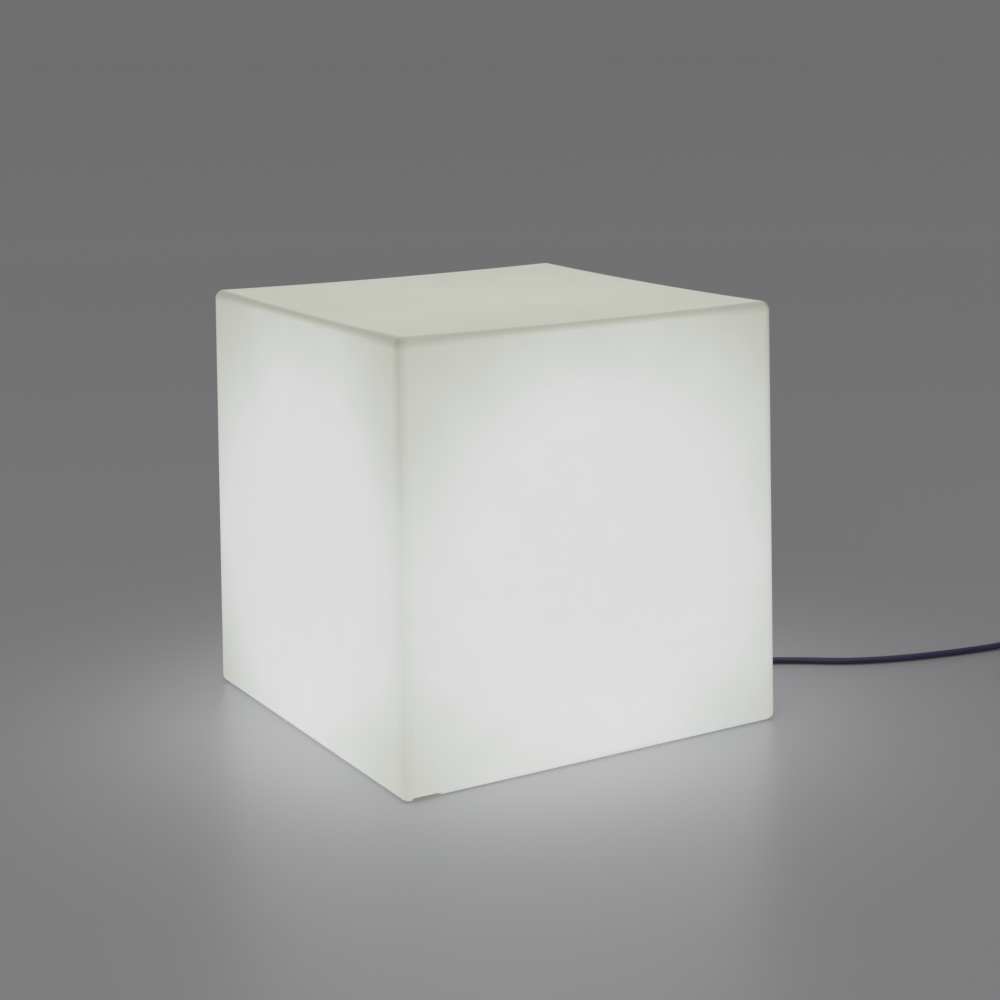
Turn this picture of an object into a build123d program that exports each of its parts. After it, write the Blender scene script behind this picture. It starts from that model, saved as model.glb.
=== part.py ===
from build123d import *
import math
import os

# A cube light: a hollow translucent cube that stands on its rim, with a bulb in a lampholder on a cover
# that closes its base from below. +Z is up, and the origin is the middle of the base on the floor.
# The cord leaves the pod of the cover along +X. All sizes are in millimetres, and angles in degrees.

# Cube shell
cube_width = 400.0
cube_height = 400.0
side_draft = 1.13
shell_wall = 4.0
edge_radius = 8.0
top_dish = 4.0
recess_width = 280.0
recess_depth = 32.0
recess_draft = 4.0
recess_corner_radius = 36.0
recess_roof_radius = 6.0
rim_inner_radius = 3.0
port_radius = 66.0
collar_height = 8.0
channel_width = 20.0
channel_height = 12.0
channel_roof_radius = 4.0
notch_start = 9.0
notch_length = 29.0
notch_height = 4.3
notch_depth = 12.0

# Cover fixings
fixing_count = 4
fixing_circle_radius = 80.0
boss_radius = 8.0
boss_height = 13.0
insert_radius = 3.6
insert_length = 11.0
moulded_gap = 0.02
cover_screw_radius = 2.5
cover_screw_length = 15.0
cover_screw_head_radius = 4.8
cover_screw_head_height = 3.2
screw_hole_gap = 0.3
thread_gap = 0.06

# Base cover and gasket
cover_radius = 90.0
cover_thickness = 4.0
cover_edge_radius = 1.5
gasket_thickness = 2.0
spigot_gap = 0.6
spigot_wall = 3.0
spigot_height = 9.0
rib_thickness = 2.5
rib_height = 7.0
rib_angles = (30, 150, 210, 330)
pod_back = -46.0
pod_front = 20.0
pod_width = 48.0
pod_wall = 2.5
pod_ground_gap = 2.5
pod_corner_radius = 4.0

# Cord
cord_diameter = 6.5
core_diameter = 2.3
core_spread = 1.4
sheath_end = -12.0
floor_gap = 0.1
run_share = 0.45

# Cable gland
gland_thread_radius = 6.0
gland_thread_length = 9.0
gland_hole_gap = 0.15
gland_washer_radius = 8.2
gland_washer_thickness = 1.5
gland_flats = 15.0
gland_hex_length = 5.0
gland_throat_radius = 6.6
gland_throat_length = 9.5
gland_bore_gap = 0.35
gland_seal_wall = 1.9
gland_seal_length = 10.0
gland_nut_radius = 8.2
gland_nut_length = 15.0
gland_nut_wall = 2.2
gland_fit_gap = 0.1
locknut_flats = 17.0
locknut_thickness = 5.0
locknut_floor_gap = 0.5
guard_flange_thickness = 1.6
guard_neck_wall = 1.2
guard_root_radius = 5.6
guard_tip_radius = 4.3
guard_length = 34.0
guard_groove_count = 5
guard_groove_width = 1.6
guard_groove_depth = 0.6

# Cord clamp in the pod
clamp_back = -6.0
clamp_length = 10.0
clamp_width = 28.0
clamp_foot_thickness = 2.5
clamp_arch_wall = 2.6
clamp_screw_spacing = 21.0
clamp_screw_radius = 1.5
clamp_screw_length = 7.0
clamp_screw_head_radius = 2.8
clamp_screw_head_height = 2.0

# Lampholder bracket
bracket_height = 38.0
bracket_width = 30.0
bracket_span = 72.0
bracket_foot = 17.0
bracket_sheet = 2.0
bracket_bend_radius = 3.0
bracket_screw_radius = 1.9
bracket_screw_length = 9.0
bracket_screw_head_radius = 3.6
bracket_screw_head_height = 2.4
bracket_boss_radius = 5.0
bracket_boss_height = 9.0
earth_screw_height = 12.0
earth_screw_radius = 2.0
earth_screw_length = 6.0
earth_screw_head_radius = 3.6
earth_screw_head_height = 2.4
lug_radius = 4.2
lug_thickness = 0.8
lug_barrel_length = 5.0
lug_barrel_end = -9.6

# Nipple, nut and lampholder
nipple_radius = 5.0
nipple_bore_radius = 3.8
nipple_below_sheet = 7.0
nipple_above_sheet = 8.0
nut_flats = 14.0
nut_thickness = 3.5
holder_wall = 2.0
holder_base_radius = 11.0
holder_boss_radius = 8.0
holder_radius = 19.8
holder_cap_height = 14.0
holder_collar_height = 10.0
holder_collar_radius = 17.8
holder_flange_thickness = 3.0
holder_insert_height = 9.0
holder_fit_gap = 0.2
skirt_height = 28.0
skirt_top_radius = 17.2
terminal_width = 5.0
terminal_height = 6.4
terminal_offset = 9.5
terminal_gap = 0.2
terminal_screw_radius = 1.4
terminal_screw_length = 2.8
contact_shell_wall = 0.5
contact_shell_height = 23.0
contact_shell_flange = 3.0
leaf_width = 5.0
leaf_thickness = 0.5
leaf_reach = 3.0
leaf_gap = 0.05
contact_lift = 3.0

# Bulb, with heights counted from its tip
bulb_cap_radius = 13.1
bulb_running_gap = 0.1
bulb_tip_radius = 4.9
bulb_tip_height = 1.6
insulator_height = 4.4
cap_wall = 0.3
cap_height = 18.0
neck_depth = 12.0
housing_wall = 1.6
housing_neck_rise = 3.0
housing_top = 58.0
housing_radius = 29.3
flare_sag = 3.0
led_board_thickness = 1.6
led_board_below_rim = 4.0
board_gap = 0.3
chip_count = 12
chip_circle_radius = 16.0
chip_size = 3.0
chip_thickness = 0.8
driver_board_length = 34.0
driver_board_thickness = 1.6
capacitor_radius = 3.8
capacitor_height = 12.0
choke_size = 7.0
globe_radius = 30.0
globe_centre = 80.0
diffuser_wall = 1.4
belly_share = 0.75

# Coil of the cord, put away on the floor, and the tie that holds it
coil_centre_x = 604.0
coil_centre_y = -200.0
coil_inner_radius = 26.0
turn_gap = 0.45
layer_quarter_counts = (12, 11, 11, 12)
climb_quarter_count = 2
climb_steepness = 1.4
tie_thickness = 1.2
tie_width = 10.0
tie_gap = 0.3
tie_corner_radius = 2.5
tie_buckle_length = 14.0
tie_buckle_height = 3.5

# Plug, with heights counted from the end where its cord enters
plug_boot_radius = 4.8
plug_boot_length = 22.0
plug_boot_top_radius = 7.5
plug_shoulder_length = 20.0
plug_radius = 18.8
plug_face = 60.0
plug_edge_radius = 1.5
plug_groove_count = 4
plug_groove_width = 1.8
plug_groove_depth = 0.9
pin_radius = 2.4
pin_length = 19.0
pin_root_radius = 1.8
pin_root_length = 12.0
pin_spacing = 19.0
pin_end_radius = 1.2
earth_slot_width = 7.0
earth_slot_depth = 3.0
earth_slot_length = 15.0
earth_strip_width = 6.4
earth_strip_thickness = 1.2
earth_socket_radius = 2.6
earth_socket_depth = 14.0
earth_socket_offset = 10.0
grip_flat_spacing = 27.0

# Route of the cord along the floor, as chosen points between the bend guard and the coil.
# Each point is (x, y, height of the cord's underside above the floor).
floor_route = [
    (96.0, 0.0, 10.75),
    (119.0, 1.4, 5.6),
    (143.0, 3.0, 0.1),
    (172.0, 0.6, 0.1),
    (203.0, -6.2, 0.1),
    (236.0, -21.0, 0.1),
    (270.0, -41.5, 0.1),
    (303.0, -62.0, 0.1),
    (333.0, -81.5, 0.1),
    (361.0, -103.0, 0.1),
    (392.0, -118.5, 0.1),
    (426.0, -130.5, 0.1),
    (462.0, -139.5, 0.1),
    (498.0, -147.0, 0.1),
    (533.0, -152.5, 0.3),
]
route_last_run = 32.0
tail_run = 16.0

# Routes of the cores inside, after a straight lead out of the sheath. Each point is counted from where the
# core leaves the sheath, but y counts core spreads in the route of the live and neutral cores.
core_lead = 11.0
core_route = [
    (-21.0, 2.0, 9.0),
    (-14.0, 2.0, 23.0),
    (4.0, 1.0, 31.0),
]
earth_lead = 7.0
earth_route = [
    (-13.0, -6.0, -1.0),
    (-17.0, -14.0, 8.0),
    (-15.0, -24.0, 24.0),
]

# Places that follow from the sizes above
cord_radius = cord_diameter / 2
core_radius = core_diameter / 2
panel_top = recess_depth + shell_wall
cover_top = recess_depth - gasket_thickness
cover_bottom = cover_top - cover_thickness
pod_floor_top = pod_ground_gap + pod_wall
pod_front_inside = pod_front - pod_wall
gland_height = pod_floor_top + locknut_floor_gap + locknut_flats / 2
gland_hex_start = pod_front + gland_washer_thickness
gland_throat_start = gland_hex_start + gland_hex_length
gland_seat = gland_throat_start + gland_bore_gap
gland_seal_end = gland_seat + gland_seal_length
gland_bore_radius = cord_radius + gland_bore_gap
gland_seal_radius = cord_radius + gland_seal_wall
gland_nut_start = gland_throat_start + gland_fit_gap
gland_nut_end = gland_nut_start + gland_nut_length
gland_nut_mouth_radius = cord_radius + guard_neck_wall + gland_fit_gap
guard_flange_end = gland_nut_end - gland_nut_wall
guard_tip = gland_nut_end + guard_length
bracket_top = cover_top + bracket_height
bracket_foot_middle = bracket_span / 2 + bracket_foot / 2 + bracket_sheet
earth_screw_z = cover_top + earth_screw_height
lug_barrel_y = -bracket_span / 2 + core_radius + lug_thickness
nipple_bottom = bracket_top - bracket_sheet - nipple_below_sheet
nipple_top = bracket_top + nipple_above_sheet
holder_shoulder = bracket_top + holder_cap_height
holder_collar_top = holder_shoulder + holder_collar_height
insert_top = holder_collar_top + holder_flange_thickness
insert_bottom = insert_top - holder_insert_height
terminal_bottom = insert_bottom + terminal_gap
terminal_top = terminal_bottom + terminal_height
contact_shell_inner_radius = bulb_cap_radius + bulb_running_gap
contact_shell_radius = contact_shell_inner_radius + contact_shell_wall
skirt_bore_radius = holder_collar_radius + holder_fit_gap
skirt_top = insert_top + skirt_height
bulb_tip_z = insert_top + contact_lift
bulb_insulator_z = bulb_tip_z + bulb_tip_height
bulb_cap_z = bulb_insulator_z + insulator_height
bulb_neck_z = bulb_cap_z + cap_height
housing_rim_z = bulb_tip_z + housing_top
led_board_z = housing_rim_z - led_board_below_rim
led_board_top = led_board_z + led_board_thickness
globe_z = bulb_tip_z + globe_centre
turn_pitch = cord_diameter + turn_gap
coil_lift = tie_thickness + floor_gap + tie_gap
coil_bottom_z = cord_radius + coil_lift
quarter_total = sum(layer_quarter_counts)

# Shapes that many pieces share


def post(radius, bottom, top):
    """A round post about the Z axis."""
    return Pos(0, 0, bottom) * Cylinder(radius, top - bottom, align=(Align.CENTER, Align.CENTER, Align.MIN))


def ring(outer_radius, inner_radius, bottom, top):
    """A round ring about the Z axis."""
    return post(outer_radius, bottom, top) - post(inner_radius, bottom, top)


def slab(x_range, y_range, z_range):
    """A block between two x, two y and two z values."""
    size = [high - low for low, high in (x_range, y_range, z_range)]
    corner = Pos(x_range[0], y_range[0], z_range[0])
    return corner * Box(*size, align=(Align.MIN, Align.MIN, Align.MIN))


def lathe(*profile):
    """A shape turned about the Z axis from (radius, height) points."""
    outline = Polyline([(radius, 0, height) for radius, height in profile], close=True)
    return revolve(make_face(outline), Axis.Z)


def hexagon(flats, bottom, top):
    """A hexagonal block about the Z axis, with two flats square to X."""
    sketch = RegularPolygon(flats / 2, 6, major_radius=False, rotation=30)
    return extrude(Pos(0, 0, bottom) * sketch, top - bottom)


def screw(head_radius, head_height, shank_radius, shank_length):
    """A pan head screw that points up, with the underside of its head at height 0."""
    head = post(head_radius, -head_height, 0)
    head = fillet(head.faces().sort_by(Axis.Z)[0].edges(), head_height / 2)
    return head + post(shank_radius, 0, shank_length)


def fixing_places():
    """Where the cover's screws stand, on a circle, away from the X and Y axes."""
    return PolarLocations(fixing_circle_radius, fixing_count, start_angle=180 / fixing_count)


def tube(path, radius):
    """A round tube along a path."""
    section = Plane(origin=path @ 0, z_dir=path % 0) * Circle(radius)
    return sweep(section, path)


def rounded_route(points):
    """The straight runs between points, joined by the largest arcs that share each run."""
    radii = []
    for before, corner, after in zip(points, points[1:], points[2:]):
        first_run = Vector(*corner) - Vector(*before)
        second_run = Vector(*after) - Vector(*corner)
        half_turn = math.radians(first_run.get_angle(second_run)) / 2
        shorter_run = min(first_run.length, second_run.length)
        radii.append(run_share * shorter_run / math.tan(half_turn))
    return FilletPolyline(*points, radius=radii), radii


# The cube shell


def width_at(height):
    """The outside width of the cube at a height, which its draft narrows towards the top."""
    return cube_width - 2 * height * math.tan(math.radians(side_draft))


def drafted_block(inset):
    """The cube's rounded block with its sunk top, moved in from the outside by inset on every side."""
    block_height = cube_height - 2 * inset
    base = Pos(0, 0, inset) * Rectangle(width_at(inset) - 2 * inset, width_at(inset) - 2 * inset)
    block = extrude(base, block_height, taper=side_draft)
    half_diagonal = (width_at(cube_height - inset) - 2 * inset) / math.sqrt(2)
    dish_radius = (half_diagonal**2 + top_dish**2) / (2 * top_dish)
    dish_centre = cube_height - inset + dish_radius - top_dish
    block -= Pos(0, 0, dish_centre) * Rot(90, 0, 0) * Sphere(dish_radius)
    return fillet(block.edges(), edge_radius - inset)


def base_pocket(grown):
    """The recess under the cube, grown by the wall for the skin that goes round it."""
    width = recess_width + 2 * grown
    base = RectangleRounded(width, width, recess_corner_radius + grown)
    pocket = extrude(base, recess_depth + grown, taper=recess_draft)
    return fillet(pocket.faces().sort_by(Axis.Z)[-1].edges(), recess_roof_radius + grown)


def cord_channel(grown):
    """The channel that lets the cord out under the rim on the +X side."""
    reach = (recess_width / 2 - recess_corner_radius, cube_width / 2 + shell_wall)
    half_width = channel_width / 2 + grown
    channel = slab(reach, (-half_width, half_width), (0, channel_height + grown))
    roof_edges = channel.edges().filter_by(Axis.X).group_by(Axis.Z)[-1]
    return fillet(roof_edges, channel_roof_radius + grown)


def rim_notch(grown):
    """The small notch under the rim of the -Y side, beside the front corner."""
    start = notch_start - cube_width / 2
    across = (start - grown, start + notch_length + grown)
    inward = (-cube_width / 2 - shell_wall, -cube_width / 2 + notch_depth + grown)
    return slab(across, inward, (0, notch_height + grown))


def make_cube_shell():
    skin = drafted_block(0) - base_pocket(0)
    mouth = recess_width / 2 + rim_inner_radius
    rim_edges = [
        edge
        for edge in skin.edges().group_by(Axis.Z)[0]
        if max(abs(edge.center().X), abs(edge.center().Y)) < mouth
    ]
    skin = fillet(rim_edges, rim_inner_radius)
    skin -= cord_channel(0) + rim_notch(0)
    cavity = drafted_block(shell_wall) - base_pocket(shell_wall)
    skin -= cavity - cord_channel(shell_wall) - rim_notch(shell_wall)
    collar = post(port_radius + shell_wall, recess_depth, panel_top + collar_height)
    bosses = fixing_places() * post(boss_radius, recess_depth, panel_top + boss_height)
    skin += collar
    skin += bosses
    skin -= post(port_radius, 0, panel_top + collar_height)
    skin -= fixing_places() * post(insert_radius + moulded_gap, recess_depth, recess_depth + insert_length)
    return skin


def make_threaded_inserts():
    bore_radius = cover_screw_radius + thread_gap
    insert = ring(insert_radius, bore_radius, recess_depth, recess_depth + insert_length)
    return fixing_places() * insert


# The base cover, its gasket and its screws


def make_cover_gasket():
    gasket = ring(cover_radius, port_radius, cover_top, recess_depth)
    return gasket - fixing_places() * post(cover_screw_radius + screw_hole_gap, cover_top, recess_depth)


def pod_block(inset, bottom, top):
    """The pod's rounded block, moved in from its outside by inset."""
    length = pod_front - pod_back - 2 * inset
    width = pod_width - 2 * inset
    outline = RectangleRounded(length, width, pod_corner_radius - inset)
    return extrude(Pos((pod_front + pod_back) / 2, 0, bottom) * outline, top - bottom)


def make_base_cover():
    plate = post(cover_radius, cover_bottom, cover_top)
    plate = fillet(plate.faces().sort_by(Axis.Z)[0].edges(), cover_edge_radius)
    spigot_radius = port_radius - spigot_gap
    spigot_bore = spigot_radius - spigot_wall
    cover = plate + ring(spigot_radius, spigot_bore, cover_top, cover_top + spigot_height)
    rib_start = math.hypot(pod_width / 2, bracket_width / 2) + rib_thickness
    rib = slab((rib_start, spigot_bore + spigot_wall / 2), (-rib_thickness / 2, rib_thickness / 2),
               (cover_top, cover_top + rib_height))
    for angle in rib_angles:
        cover += Rot(0, 0, angle) * rib
    cover += pod_block(0, pod_ground_gap, cover_top)
    for side in (1, -1):
        boss = post(bracket_boss_radius, cover_bottom - bracket_boss_height, cover_top)
        cover += Pos(0, side * bracket_foot_middle, 0) * boss
    cover -= pod_block(pod_wall, pod_floor_top, cover_top)
    pedestal_top = gland_height - cord_radius
    cover += slab((clamp_back, clamp_back + clamp_length), (-clamp_width / 2, clamp_width / 2),
                  (pod_floor_top - pod_wall / 2, pedestal_top))
    gland_hole = post(gland_thread_radius + gland_hole_gap, pod_front_inside - pod_wall, pod_front + pod_wall)
    cover -= gland_axis * gland_hole
    cover -= fixing_places() * post(cover_screw_radius + screw_hole_gap, cover_bottom, cover_top)
    for side in (1, -1):
        pilot = post(bracket_screw_radius + thread_gap, cover_top - bracket_screw_length, cover_top)
        cover -= Pos(0, side * bracket_foot_middle, 0) * pilot
        clamp_pilot = post(clamp_screw_radius + thread_gap, pedestal_top - clamp_screw_length, pedestal_top)
        cover -= Pos(clamp_back + clamp_length / 2, side * clamp_screw_spacing / 2, 0) * clamp_pilot
    return cover


def make_cover_screws():
    one = screw(cover_screw_head_radius, cover_screw_head_height, cover_screw_radius, cover_screw_length)
    return fixing_places() * (Pos(0, 0, cover_bottom) * one)


# The cable gland, whose parts lie along X, with their distances from the origin as heights

gland_axis = Pos(0, 0, gland_height) * Rot(0, 90, 0)


def make_gland_body():
    thread_start = pod_front - gland_thread_length
    body = post(gland_thread_radius, thread_start, gland_hex_start)
    body += hexagon(gland_flats, gland_hex_start, gland_throat_start)
    body += post(gland_throat_radius, gland_throat_start, gland_throat_start + gland_throat_length)
    body -= post(gland_bore_radius, thread_start, gland_throat_start)
    seal_room = gland_seal_radius + gland_fit_gap
    body -= post(seal_room, gland_throat_start, gland_throat_start + gland_throat_length)
    return gland_axis * body


def make_gland_washer():
    bore_radius = gland_thread_radius + gland_hole_gap
    return gland_axis * ring(gland_washer_radius, bore_radius, pod_front, gland_hex_start)


def make_gland_locknut():
    nut = hexagon(locknut_flats, pod_front_inside - locknut_thickness, pod_front_inside)
    nut -= post(gland_thread_radius + thread_gap, pod_front_inside - locknut_thickness, pod_front_inside)
    return gland_axis * nut


def make_gland_seal():
    bore_radius = cord_radius + gland_fit_gap
    return gland_axis * ring(gland_seal_radius, bore_radius, gland_throat_start, gland_seal_end)


def make_gland_nut():
    nut = post(gland_nut_radius, gland_nut_start, gland_nut_end)
    nut = fillet(nut.faces().sort_by(Axis.Z)[-1].edges(), gland_nut_wall)
    nut -= post(gland_throat_radius + gland_fit_gap, gland_nut_start, guard_flange_end)
    nut -= post(gland_nut_mouth_radius, guard_flange_end, gland_nut_end)
    return gland_axis * nut


def make_bend_guard():
    """The tapered sleeve that the cord leaves through, with grooves that let it bend."""
    neck_radius = cord_radius + guard_neck_wall
    bore_radius = cord_radius + gland_fit_gap
    flange_start = guard_flange_end - guard_flange_thickness
    guard = lathe(
        (bore_radius, flange_start),
        (gland_throat_radius, flange_start),
        (gland_throat_radius, guard_flange_end),
        (neck_radius, guard_flange_end),
        (neck_radius, gland_nut_end),
        (guard_root_radius, gland_nut_end),
        (guard_tip_radius, guard_tip),
        (bore_radius, guard_tip),
    )
    step = guard_length / (guard_groove_count + 1)
    for count in range(1, guard_groove_count + 1):
        groove = gland_nut_end + count * step
        taper = (guard_root_radius - guard_tip_radius) * count / (guard_groove_count + 1)
        floor_radius = guard_root_radius - taper - guard_groove_depth
        guard -= ring(gland_nut_radius, floor_radius, groove, groove + guard_groove_width)
    return gland_axis * guard


def make_cord_clamp():
    """The saddle that holds the sheath down on the pod's pedestal."""
    along = (clamp_back, clamp_back + clamp_length)
    foot_bottom = gland_height - cord_radius
    foot_top = foot_bottom + clamp_foot_thickness
    clamp = slab(along, (-clamp_width / 2, clamp_width / 2), (foot_bottom, foot_top))
    arch_radius = cord_radius + clamp_arch_wall
    arch = gland_axis * post(arch_radius, *along)
    clamp += arch & slab(along, (-arch_radius, arch_radius), (foot_bottom, gland_height + arch_radius))
    room_radius = cord_radius + gland_fit_gap
    clamp -= gland_axis * post(room_radius, *along)
    clamp -= slab(along, (-room_radius, room_radius), (foot_bottom, gland_height))
    for side in (1, -1):
        hole = post(clamp_screw_radius + thread_gap, foot_bottom, foot_top)
        clamp -= Pos(clamp_back + clamp_length / 2, side * clamp_screw_spacing / 2, 0) * hole
    return clamp


def make_clamp_screws():
    one = screw(clamp_screw_head_radius, clamp_screw_head_height, clamp_screw_radius, clamp_screw_length)
    foot_top = gland_height - cord_radius + clamp_foot_thickness
    turned = Pos(clamp_back + clamp_length / 2, 0, foot_top) * Rot(180, 0, 0) * one
    return Pos(0, clamp_screw_spacing / 2, 0) * turned + Pos(0, -clamp_screw_spacing / 2, 0) * turned


# The bracket and the lampholder


def make_holder_bracket():
    """A strip of sheet bent into a hat, with its feet on the cover and the lampholder on its top."""
    half_sheet = bracket_sheet / 2
    foot_end = bracket_span / 2 + bracket_sheet + bracket_foot
    leg = bracket_span / 2 + half_sheet
    low = cover_top + half_sheet
    high = bracket_top - half_sheet
    middle_line = FilletPolyline(
        (-foot_end, low), (-leg, low), (-leg, high), (leg, high), (leg, low), (foot_end, low),
        radius=bracket_bend_radius,
    )
    profile = Plane.YZ * trace(middle_line, bracket_sheet)
    bracket = extrude(profile, bracket_width / 2, both=True)
    bracket -= post(nipple_radius + screw_hole_gap, bracket_top - bracket_sheet, bracket_top)
    for side in (1, -1):
        hole = post(bracket_screw_radius + screw_hole_gap, cover_top, cover_top + bracket_sheet)
        bracket -= Pos(0, side * bracket_foot_middle, 0) * hole
    return bracket - earth_axis * post(earth_screw_radius + thread_gap, -bracket_sheet, 0)


def make_bracket_screws():
    one = screw(bracket_screw_head_radius, bracket_screw_head_height, bracket_screw_radius,
                bracket_screw_length)
    turned = Pos(0, 0, cover_top + bracket_sheet) * Rot(180, 0, 0) * one
    return Pos(0, bracket_foot_middle, 0) * turned + Pos(0, -bracket_foot_middle, 0) * turned


# The earth screw goes through the bracket's -Y leg from the inside. Its axis starts on the leg's inner face.
earth_axis = Pos(0, -bracket_span / 2, earth_screw_z) * Rot(-90, 0, 0)


def make_earth_screw():
    one = screw(earth_screw_head_radius, earth_screw_head_height, earth_screw_radius, earth_screw_length)
    return earth_axis * Pos(0, 0, lug_thickness) * Rot(180, 0, 0) * one


def make_nipple():
    return ring(nipple_radius, nipple_bore_radius, nipple_bottom, nipple_top)


def make_nipple_nut():
    top = bracket_top - bracket_sheet
    nut = hexagon(nut_flats, top - nut_thickness, top)
    return nut - post(nipple_radius + thread_gap, top - nut_thickness, top)


def make_holder_cap():
    """The lampholder's lower half: a cone that screws on the nipple, with a collar for the skirt."""
    bore = nipple_radius + thread_gap
    collar_bore = holder_collar_radius - holder_wall
    return lathe(
        (bore, bracket_top),
        (holder_base_radius, bracket_top),
        (holder_radius, holder_shoulder - holder_wall),
        (holder_radius, holder_shoulder),
        (holder_collar_radius, holder_shoulder),
        (holder_collar_radius, holder_collar_top),
        (collar_bore, holder_collar_top),
        (collar_bore, holder_shoulder - holder_wall),
        (holder_base_radius, bracket_top + holder_wall),
        (holder_boss_radius, bracket_top + holder_wall),
        (holder_boss_radius, nipple_top),
        (bore, nipple_top),
    )


def make_holder_insert():
    """The phenolic core, with a flange on the collar and a pocket from below for each terminal."""
    core_outer = holder_collar_radius - holder_wall - holder_fit_gap
    core = post(core_outer, insert_bottom, insert_top)
    core += post(holder_collar_radius, holder_collar_top, insert_top)
    half_pocket = terminal_width / 2 + terminal_gap
    for side in (1, -1):
        middle = side * terminal_offset
        core -= slab((-half_pocket, half_pocket), (middle - half_pocket, middle + half_pocket),
                     (insert_bottom, terminal_top))
        screw_hole = post(terminal_screw_radius + thread_gap, middle * side, core_outer + holder_wall)
        core -= Pos(0, 0, (terminal_bottom + holder_collar_top) / 2) * Rot(-90 * side, 0, 0) * screw_hole
    return core


def make_holder_terminals():
    half = terminal_width / 2
    blocks = [
        slab((-half, half), (side * terminal_offset - half, side * terminal_offset + half),
             (terminal_bottom, terminal_top))
        for side in (1, -1)
    ]
    return blocks[0] + blocks[1]


def make_terminal_screws():
    seat = terminal_offset + terminal_width / 2
    one = post(terminal_screw_radius, seat, seat + terminal_screw_length)
    height = Pos(0, 0, (terminal_bottom + holder_collar_top) / 2)
    return height * Rot(-90, 0, 0) * one + height * Rot(90, 0, 0) * one


def make_contact_shell():
    top = insert_top + contact_shell_height
    inner = contact_shell_inner_radius
    return lathe(
        (inner - contact_shell_flange, insert_top),
        (contact_shell_radius, insert_top),
        (contact_shell_radius, top),
        (inner, top),
        (inner, insert_top + contact_shell_wall),
        (inner - contact_shell_flange, insert_top + contact_shell_wall),
    )


def make_contact_spring():
    """The bronze leaf that lifts off the insert and carries the bulb's tip."""
    half = leaf_thickness / 2
    low = insert_top + half
    high = bulb_tip_z - leaf_gap - half
    back = terminal_offset - half
    line = Polyline((-back, low), (-back + leaf_reach, low), (-leaf_reach, high), (leaf_reach, high))
    return extrude(Plane.YZ * trace(line, leaf_thickness), leaf_width / 2, both=True)


def make_holder_skirt():
    """The upper shell, which screws on the collar and traps the insert's flange under its shoulder."""
    bore = contact_shell_radius + holder_fit_gap
    return lathe(
        (skirt_bore_radius, holder_shoulder),
        (holder_radius, holder_shoulder),
        (holder_radius, insert_top),
        (skirt_top_radius, insert_top + holder_collar_height),
        (skirt_top_radius, skirt_top),
        (bore, skirt_top),
        (bore, insert_top),
        (skirt_bore_radius, insert_top),
    )


# The bulb


def make_bulb_tip():
    tip = post(bulb_tip_radius, bulb_tip_z, bulb_insulator_z)
    return fillet(tip.faces().sort_by(Axis.Z)[0].edges(), bulb_tip_height / 2)


def make_bulb_insulator():
    inner_cap = bulb_cap_radius - cap_wall
    return lathe(
        (0, bulb_insulator_z),
        (bulb_tip_radius, bulb_insulator_z),
        (inner_cap, bulb_cap_z),
        (0, bulb_cap_z),
    )


def make_bulb_cap():
    inner = bulb_cap_radius - cap_wall
    seat = bulb_tip_radius + bulb_tip_height
    return lathe(
        (seat, bulb_cap_z),
        (bulb_cap_radius, bulb_cap_z),
        (bulb_cap_radius, bulb_neck_z),
        (inner, bulb_neck_z),
        (inner, bulb_cap_z + cap_wall),
        (seat, bulb_cap_z + cap_wall),
    )


def make_bulb_housing():
    """The flared body between the screw cap and the diffuser, open inside for the driver."""
    neck_outer = bulb_cap_radius - cap_wall - bulb_running_gap
    neck_inner = neck_outer - housing_wall
    flare_low = bulb_neck_z + housing_neck_rise
    ledge_radius = housing_radius - 2 * housing_wall
    seat_radius = housing_radius - housing_wall
    neck_bottom = bulb_neck_z - neck_depth
    outer_low = (bulb_cap_radius, flare_low)
    outer_high = (housing_radius, led_board_z)
    inner_high = (ledge_radius, led_board_z - housing_wall)
    inner_low = (neck_inner, flare_low)
    outline = Polyline(
        inner_low, (neck_inner, neck_bottom), (neck_outer, neck_bottom), (neck_outer, bulb_neck_z),
        (bulb_cap_radius, bulb_neck_z), outer_low,
    )
    outline += SagittaArc(outer_low, outer_high, -flare_sag)
    outline += Polyline(
        outer_high, (housing_radius, housing_rim_z), (seat_radius, housing_rim_z),
        (seat_radius, led_board_z), (ledge_radius, led_board_z), inner_high,
    )
    outline += SagittaArc(inner_high, inner_low, flare_sag)
    return revolve(Plane.XZ * make_face(outline), Axis.Z)


def make_driver_board():
    """A board on edge in the neck, with its capacitor and its choke."""
    neck_inner = bulb_cap_radius - cap_wall - bulb_running_gap - housing_wall
    half = driver_board_thickness / 2
    bottom = bulb_neck_z - neck_depth
    top = bottom + driver_board_length
    half_width = math.sqrt((neck_inner - board_gap) ** 2 - half**2)
    board = slab((-half, half), (-half_width, half_width), (bottom, top))
    capacitor = post(capacitor_radius, top - capacitor_height, top)
    board += Pos(capacitor_radius, 0, 0) * capacitor
    choke_end = -half - choke_size
    choke = slab((choke_end, -half), (-choke_size / 2, choke_size / 2), (top - choke_size, top))
    return board + choke


def make_led_board():
    return post(housing_radius - housing_wall - board_gap, led_board_z, led_board_top)


def make_led_chips():
    half = chip_size / 2
    chip = slab((-half, half), (-half, half), (led_board_top, led_board_top + chip_thickness))
    return PolarLocations(chip_circle_radius, chip_count) * chip


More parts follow.
